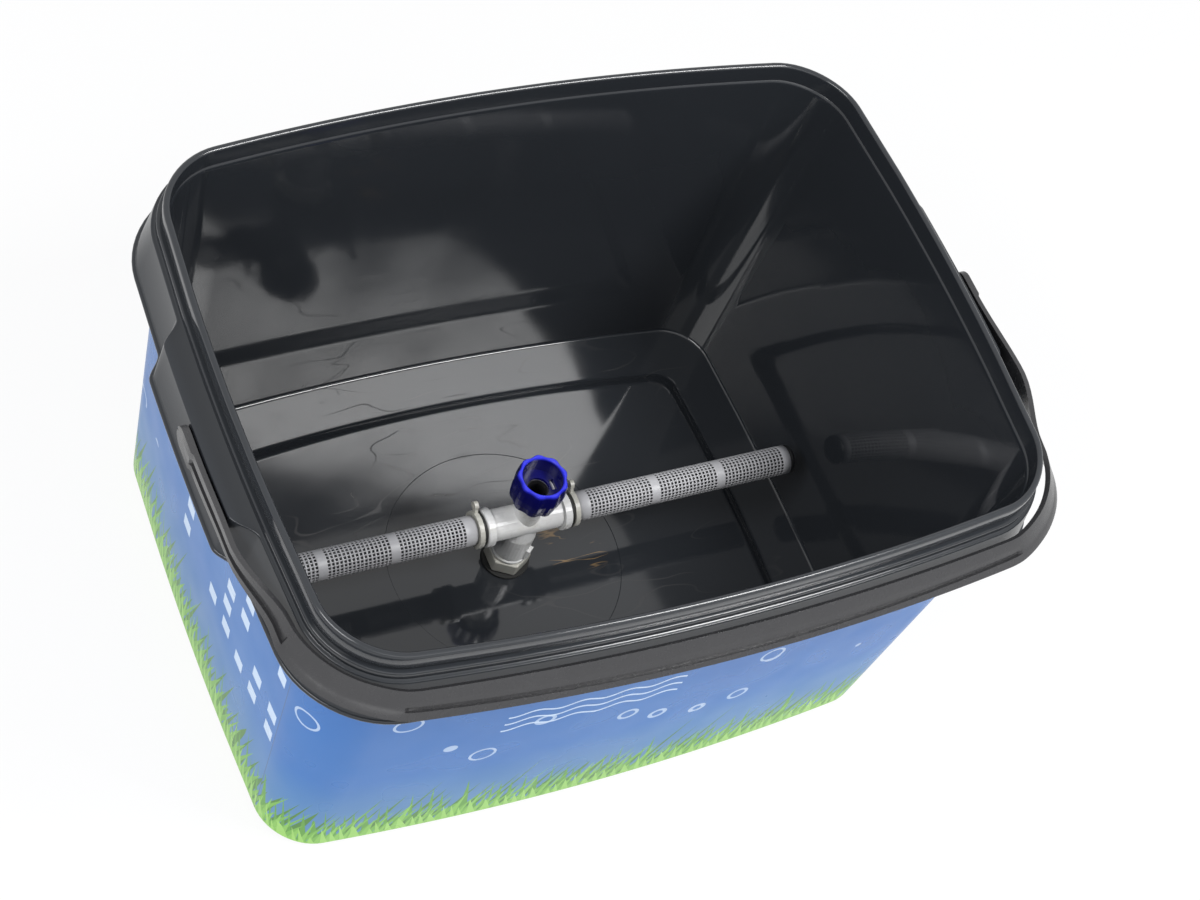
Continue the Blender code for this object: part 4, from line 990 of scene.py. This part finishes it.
def strap_section(top, foot, outward, wall, ridge, grip, slotted=False):
    """The strap's section at one place, with a ridge along both edges of its outer face.

    Along the grip the face between them slopes down to a narrow slot above the lower ridge.
    """
    down = foot - top
    width = down.length
    down.normalize()
    upper = width * mix(UPPER_RIDGE_SHARE, GRIP_UPPER_RIDGE_SHARE, grip)
    lower = width * (1.0 - mix(LOWER_RIDGE_SHARE, GRIP_LOWER_RIDGE_SHARE, grip))
    slot = lower - SLOT_WIDTH
    face, brink, bottom = (wall, wall, wall)
    if slotted:
        face, brink, bottom = (wall + ridge * SLOT_FACE_SHARE, wall + ridge * SLOT_BRINK_SHARE, SLOT_FLOOR)
    across = [(0.0, 0.0), (0.0, wall + ridge), (upper, wall + ridge), (upper + STRAP_SLOPE, face),
              (slot, brink), (slot + SLOT_EDGE, bottom), (lower - SLOT_EDGE, bottom),
              (lower, wall + ridge), (width, wall + ridge), (width, 0.0)]
    return [top + down * along + outward * out for along, out in across]


def boss_sections():
    """The thick round end of the right arm, from its tip to where the channel starts."""
    radius = BOSS_WIDTH / 2
    places = [(radius * math.sin(angle), radius * math.cos(angle))
              for angle in arc(BOSS_TIP_ANGLE, 0, BOSS_STEPS)]
    sections = []
    for y, half in places + [(-BOSS_LENGTH, radius)]:
        sections.append((Vector((ARM_FACE_X, y, PIVOT_HEIGHT + half)),
                         Vector((ARM_FACE_X, y, PIVOT_HEIGHT - half)), Vector((1.0, 0.0, 0.0)),
                         BOSS_WALL, 0.0, 0.0))
    return sections


def strap_sections():
    """Sections of the strap from the right boss to the middle of the grip."""
    half_x, half_y, radius = bail_plan()
    twist_end = half_y - radius * (1.0 - math.sin(math.pi / 4))
    stations = bail_stations()
    path = [Vector((ARM_FACE_X, 0.0, 0.0))]
    path += [Vector((x, -forward, 0.0)) for x, forward, kind in stations]
    path.append(Vector((-stations[-2][0], -stations[-2][1], 0.0)))
    upright = Vector((0.0, 0.0, 1.0))
    sections = []
    for index, (x, forward, kind) in enumerate(stations):
        from_boss = smooth_step((forward - BOSS_LENGTH) / ARM_NARROWING)
        twist = smooth_step((forward - HOUSING_END) / (twist_end - HOUSING_END))
        grip = max(1.0 - (x / (half_x - radius)) ** 2, 0.0)
        lean = BAIL_LEAN * twist
        width = mix(mix(mix(BOSS_WIDTH, ARM_WIDTH, from_boss), CORNER_WIDTH, twist), GRIP_WIDTH, grip)
        height = mix(PIVOT_HEIGHT + BOSS_WIDTH / 2, TUB_HEIGHT - BAIL_TOP_DROP, from_boss)
        along = path[index + 2] - path[index]
        sideways = Vector((-along.y, along.x, 0.0)).normalized()
        top = Vector((x, -forward, height))
        foot = top + width * (sideways * math.sin(lean) - upright * math.cos(lean))
        outward = sideways * math.cos(lean) + upright * math.sin(lean)
        wall = STRAP_WALL + STRAP_RIDGE if kind == "corner" else STRAP_WALL
        ridge = FLUSH_RIDGE if kind == "corner" else STRAP_RIDGE
        sections.append((top, foot, outward, wall, ridge, grip, kind == "grip"))
    return sections


def make_bail():
    """The bail strap with its edges rounded; its studs stay in their holes."""
    right = [strap_section(*values) for values in boss_sections() + strap_sections()]
    left = [[Vector((-point.x, point.y, point.z)) for point in ring] for ring in reversed(right[:-1])]
    bm = bmesh.new()
    draw_skin(bm, right + left)
    bmesh.ops.holes_fill(bm, edges=bm.edges[:])
    for sign in (-1, 1):
        place = Matrix.Translation((sign * (ARM_FACE_X - BOSS_WALL / 2), 0.0, PIVOT_HEIGHT))
        turn = Matrix.Rotation(math.pi / 2, 4, 'Y')
        bmesh.ops.create_cone(bm, cap_ends=True, segments=STUD_SIDES, radius1=STUD_RADIUS,
                              radius2=STUD_RADIUS, depth=2 * BOSS_WALL, matrix=place @ turn)
    bail = piece("strap_handle", bm, "strap", "bail", "bail_handle", sharp=STRAP_SHARP_ANGLE)
    edge = bail.modifiers.new("Rounded edges", 'BEVEL')
    edge.width = STRAP_EDGE_ROUND
    edge.segments = STRAP_EDGE_STEPS
    edge.limit_method = 'ANGLE'
    edge.angle_limit = math.radians(STRAP_EDGE_ANGLE)


def sleeve_lines(start, end):
    """Places along a sleeve where its holes and bars begin, each with what follows it."""
    length = end - start
    bands = SLEEVE_BAND * (len(SLEEVE_ROWS) - 1)
    mesh_length = length - SLEEVE_START - SLEEVE_BAND - bands
    row_pitch = mesh_length / sum(SLEEVE_ROWS)
    lines = [(start, "wall")]
    place = start + SLEEVE_START
    for rows in SLEEVE_ROWS:
        lines.append((place, "bar"))
        for row in range(rows):
            lines.append((place + row_pitch * row + (row_pitch - SLEEVE_HOLE) / 2, "hole"))
            lines.append((place + row_pitch * row + (row_pitch + SLEEVE_HOLE) / 2, "bar"))
        place += row_pitch * rows
        lines.append((place, "band"))
        place += SLEEVE_BAND
    return lines[:-1] + [(place - SLEEVE_BAND, "wall"), (end, "end")]


def make_sleeve(sign, side):
    """A strainer sleeve with square holes in three spans between plain bands."""
    low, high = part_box(side + "_sleeve")
    radius = (high.z - low.z) / 2
    axis_height = (high.z + low.z) / 2
    ends = sorted((abs(low.x), abs(high.x)))
    pitch = 2 * math.pi / SLEEVE_COLUMNS
    half_hole = SLEEVE_HOLE / radius / 2
    lines = sleeve_lines(ends[0] + NECK_LENGTH, ends[1])
    turns = [pitch * column + turn for column in range(SLEEVE_COLUMNS) for turn in (-half_hole, half_hole)]
    around = [(radius * math.cos(turn), axis_height + radius * math.sin(turn)) for turn in turns]
    rings = [[Vector((sign * place, y, z)) for y, z in around] for place, kind in lines]
    bm = bmesh.new()
    rows = draw_skin(bm, rings)
    holes = []
    for (place, kind), row, following in zip(lines, rows, rows[1:]):
        if kind == "hole":
            for column in range(0, len(row), 2):
                holes += set(row[column].link_faces) & set(following[column + 1].link_faces)
    bmesh.ops.delete(bm, geom=holes, context='FACES_ONLY')
    sleeve = piece(side + "_strainer", bm, "grey", side + "_strainer", side + "_sleeve",
                   sharp=SLEEVE_SHARP_ANGLE)
    wall = sleeve.modifiers.new("Wall", 'SOLIDIFY')
    wall.thickness = SLEEVE_WALL
    wall.offset = -1.0


def make_camera():
    """The camera where the photographer's stood."""
    forward = Vector((math.sin(CAMERA_YAW) * math.cos(CAMERA_PITCH),
                      math.cos(CAMERA_YAW) * math.cos(CAMERA_PITCH), -math.sin(CAMERA_PITCH)))
    level = Vector((math.cos(CAMERA_YAW), -math.sin(CAMERA_YAW), 0.0))
    upward = level.cross(forward)
    right = level * math.cos(CAMERA_ROLL) + upward * math.sin(CAMERA_ROLL)
    up = upward * math.cos(CAMERA_ROLL) - level * math.sin(CAMERA_ROLL)
    data = bpy.data.cameras.new("camera")
    data.lens = CAMERA_LENS
    data.sensor_width = SENSOR_WIDTH
    data.clip_end = VIEW_END
    camera = bpy.data.objects.new("camera", data)
    aim = Matrix((right, up, -forward)).transposed().to_4x4()
    camera.matrix_world = Matrix.Translation(CAMERA_PLACE) @ aim
    bpy.context.scene.collection.objects.link(camera)
    bpy.context.scene.camera = camera


def soft_box(name, centre, size, radiance, turn):
    """A level soft box of even radiance that faces the ground, turned by some degrees."""
    data = bpy.data.lights.new(name, 'AREA')
    data.shape = 'RECTANGLE'
    data.size, data.size_y = size
    data.energy = WATTS_PER_RADIANCE * radiance * size[0] * size[1]
    light = bpy.data.objects.new(name, data)
    light.location = (*centre, SOFT_BOX_HEIGHT)
    light.rotation_euler.z = math.radians(turn)
    bpy.context.scene.collection.objects.link(light)


def make_lights():
    """Two bright soft boxes to the right, which the gloss inside the tub shows, and two dimmer ones."""
    for box in SOFT_BOXES:
        soft_box(*box)


def shown_rays(nodes, links):
    """1 for what the camera, a gloss or a clear piece shows, 0 for what lights the object."""
    path = nodes.new("ShaderNodeLightPath")
    shown = path.outputs["Is Camera Ray"]
    for name in ("Is Glossy Ray", "Is Transmission Ray"):
        either = nodes.new("ShaderNodeMath")
        either.operation = 'MAXIMUM'
        links.new(shown, either.inputs[0])
        links.new(path.outputs[name], either.inputs[1])
        shown = either.outputs["Value"]
    return shown


def make_world():
    """Even pale surroundings, pure white where they are seen."""
    world = bpy.data.worlds.new("studio")
    bpy.context.scene.world = world
    world.use_nodes = True
    nodes = world.node_tree.nodes
    links = world.node_tree.links
    seen = nodes["Background"]
    seen.inputs["Color"].default_value = WHITE
    seen.inputs["Strength"].default_value = 1.0
    lit = nodes.new("ShaderNodeBackground")
    lit.inputs["Color"].default_value = WORLD_TONE
    share = nodes.new("ShaderNodeMixShader")
    links.new(shown_rays(nodes, links), share.inputs["Fac"])
    links.new(lit.outputs["Background"], share.inputs[1])
    links.new(seen.outputs["Background"], share.inputs[2])
    links.new(share.outputs["Shader"], nodes["World Output"].inputs["Surface"])


def make_floor():
    """The white surface that the tub stands on, which glows a little and keeps a faint shadow."""
    bm = bmesh.new()
    bmesh.ops.create_grid(bm, x_segments=1, y_segments=1, size=FLOOR_REACH)
    mesh = bpy.data.meshes.new("studio_floor")
    bm.to_mesh(mesh)
    bm.free()
    floor = bpy.data.objects.new("studio_floor", mesh)
    bpy.context.scene.collection.objects.link(floor)
    material = bpy.data.materials.new("studio floor")
    material.use_nodes = True
    nodes = material.node_tree.nodes
    links = material.node_tree.links
    shader = nodes["Principled BSDF"]
    shader.inputs["Base Color"].default_value = FLOOR_TONE
    shader.inputs["Roughness"].default_value = FLOOR_ROUGHNESS
    glow = nodes.new("ShaderNodeEmission")
    glow.inputs["Strength"].default_value = 1.0
    share = nodes.new("ShaderNodeMixShader")
    seen = nodes.new("ShaderNodeMath")
    seen.operation = 'MULTIPLY'
    seen.inputs[1].default_value = FLOOR_GLOW
    links.new(shown_rays(nodes, links), seen.inputs[0])
    links.new(seen.outputs["Value"], share.inputs["Fac"])
    links.new(shader.outputs["BSDF"], share.inputs[1])
    links.new(glow.outputs["Emission"], share.inputs[2])
    links.new(share.outputs["Shader"], nodes["Material Output"].inputs["Surface"])
    mesh.materials.append(material)


dress_nodes()
make_tub()
make_label()
make_bail()
for sign, side in ((-1, "left"), (1, "right")):
    make_sleeve(sign, side)
make_camera()
make_lights()
make_world()
make_floor()
bpy.context.scene.view_settings.view_transform = 'Standard'
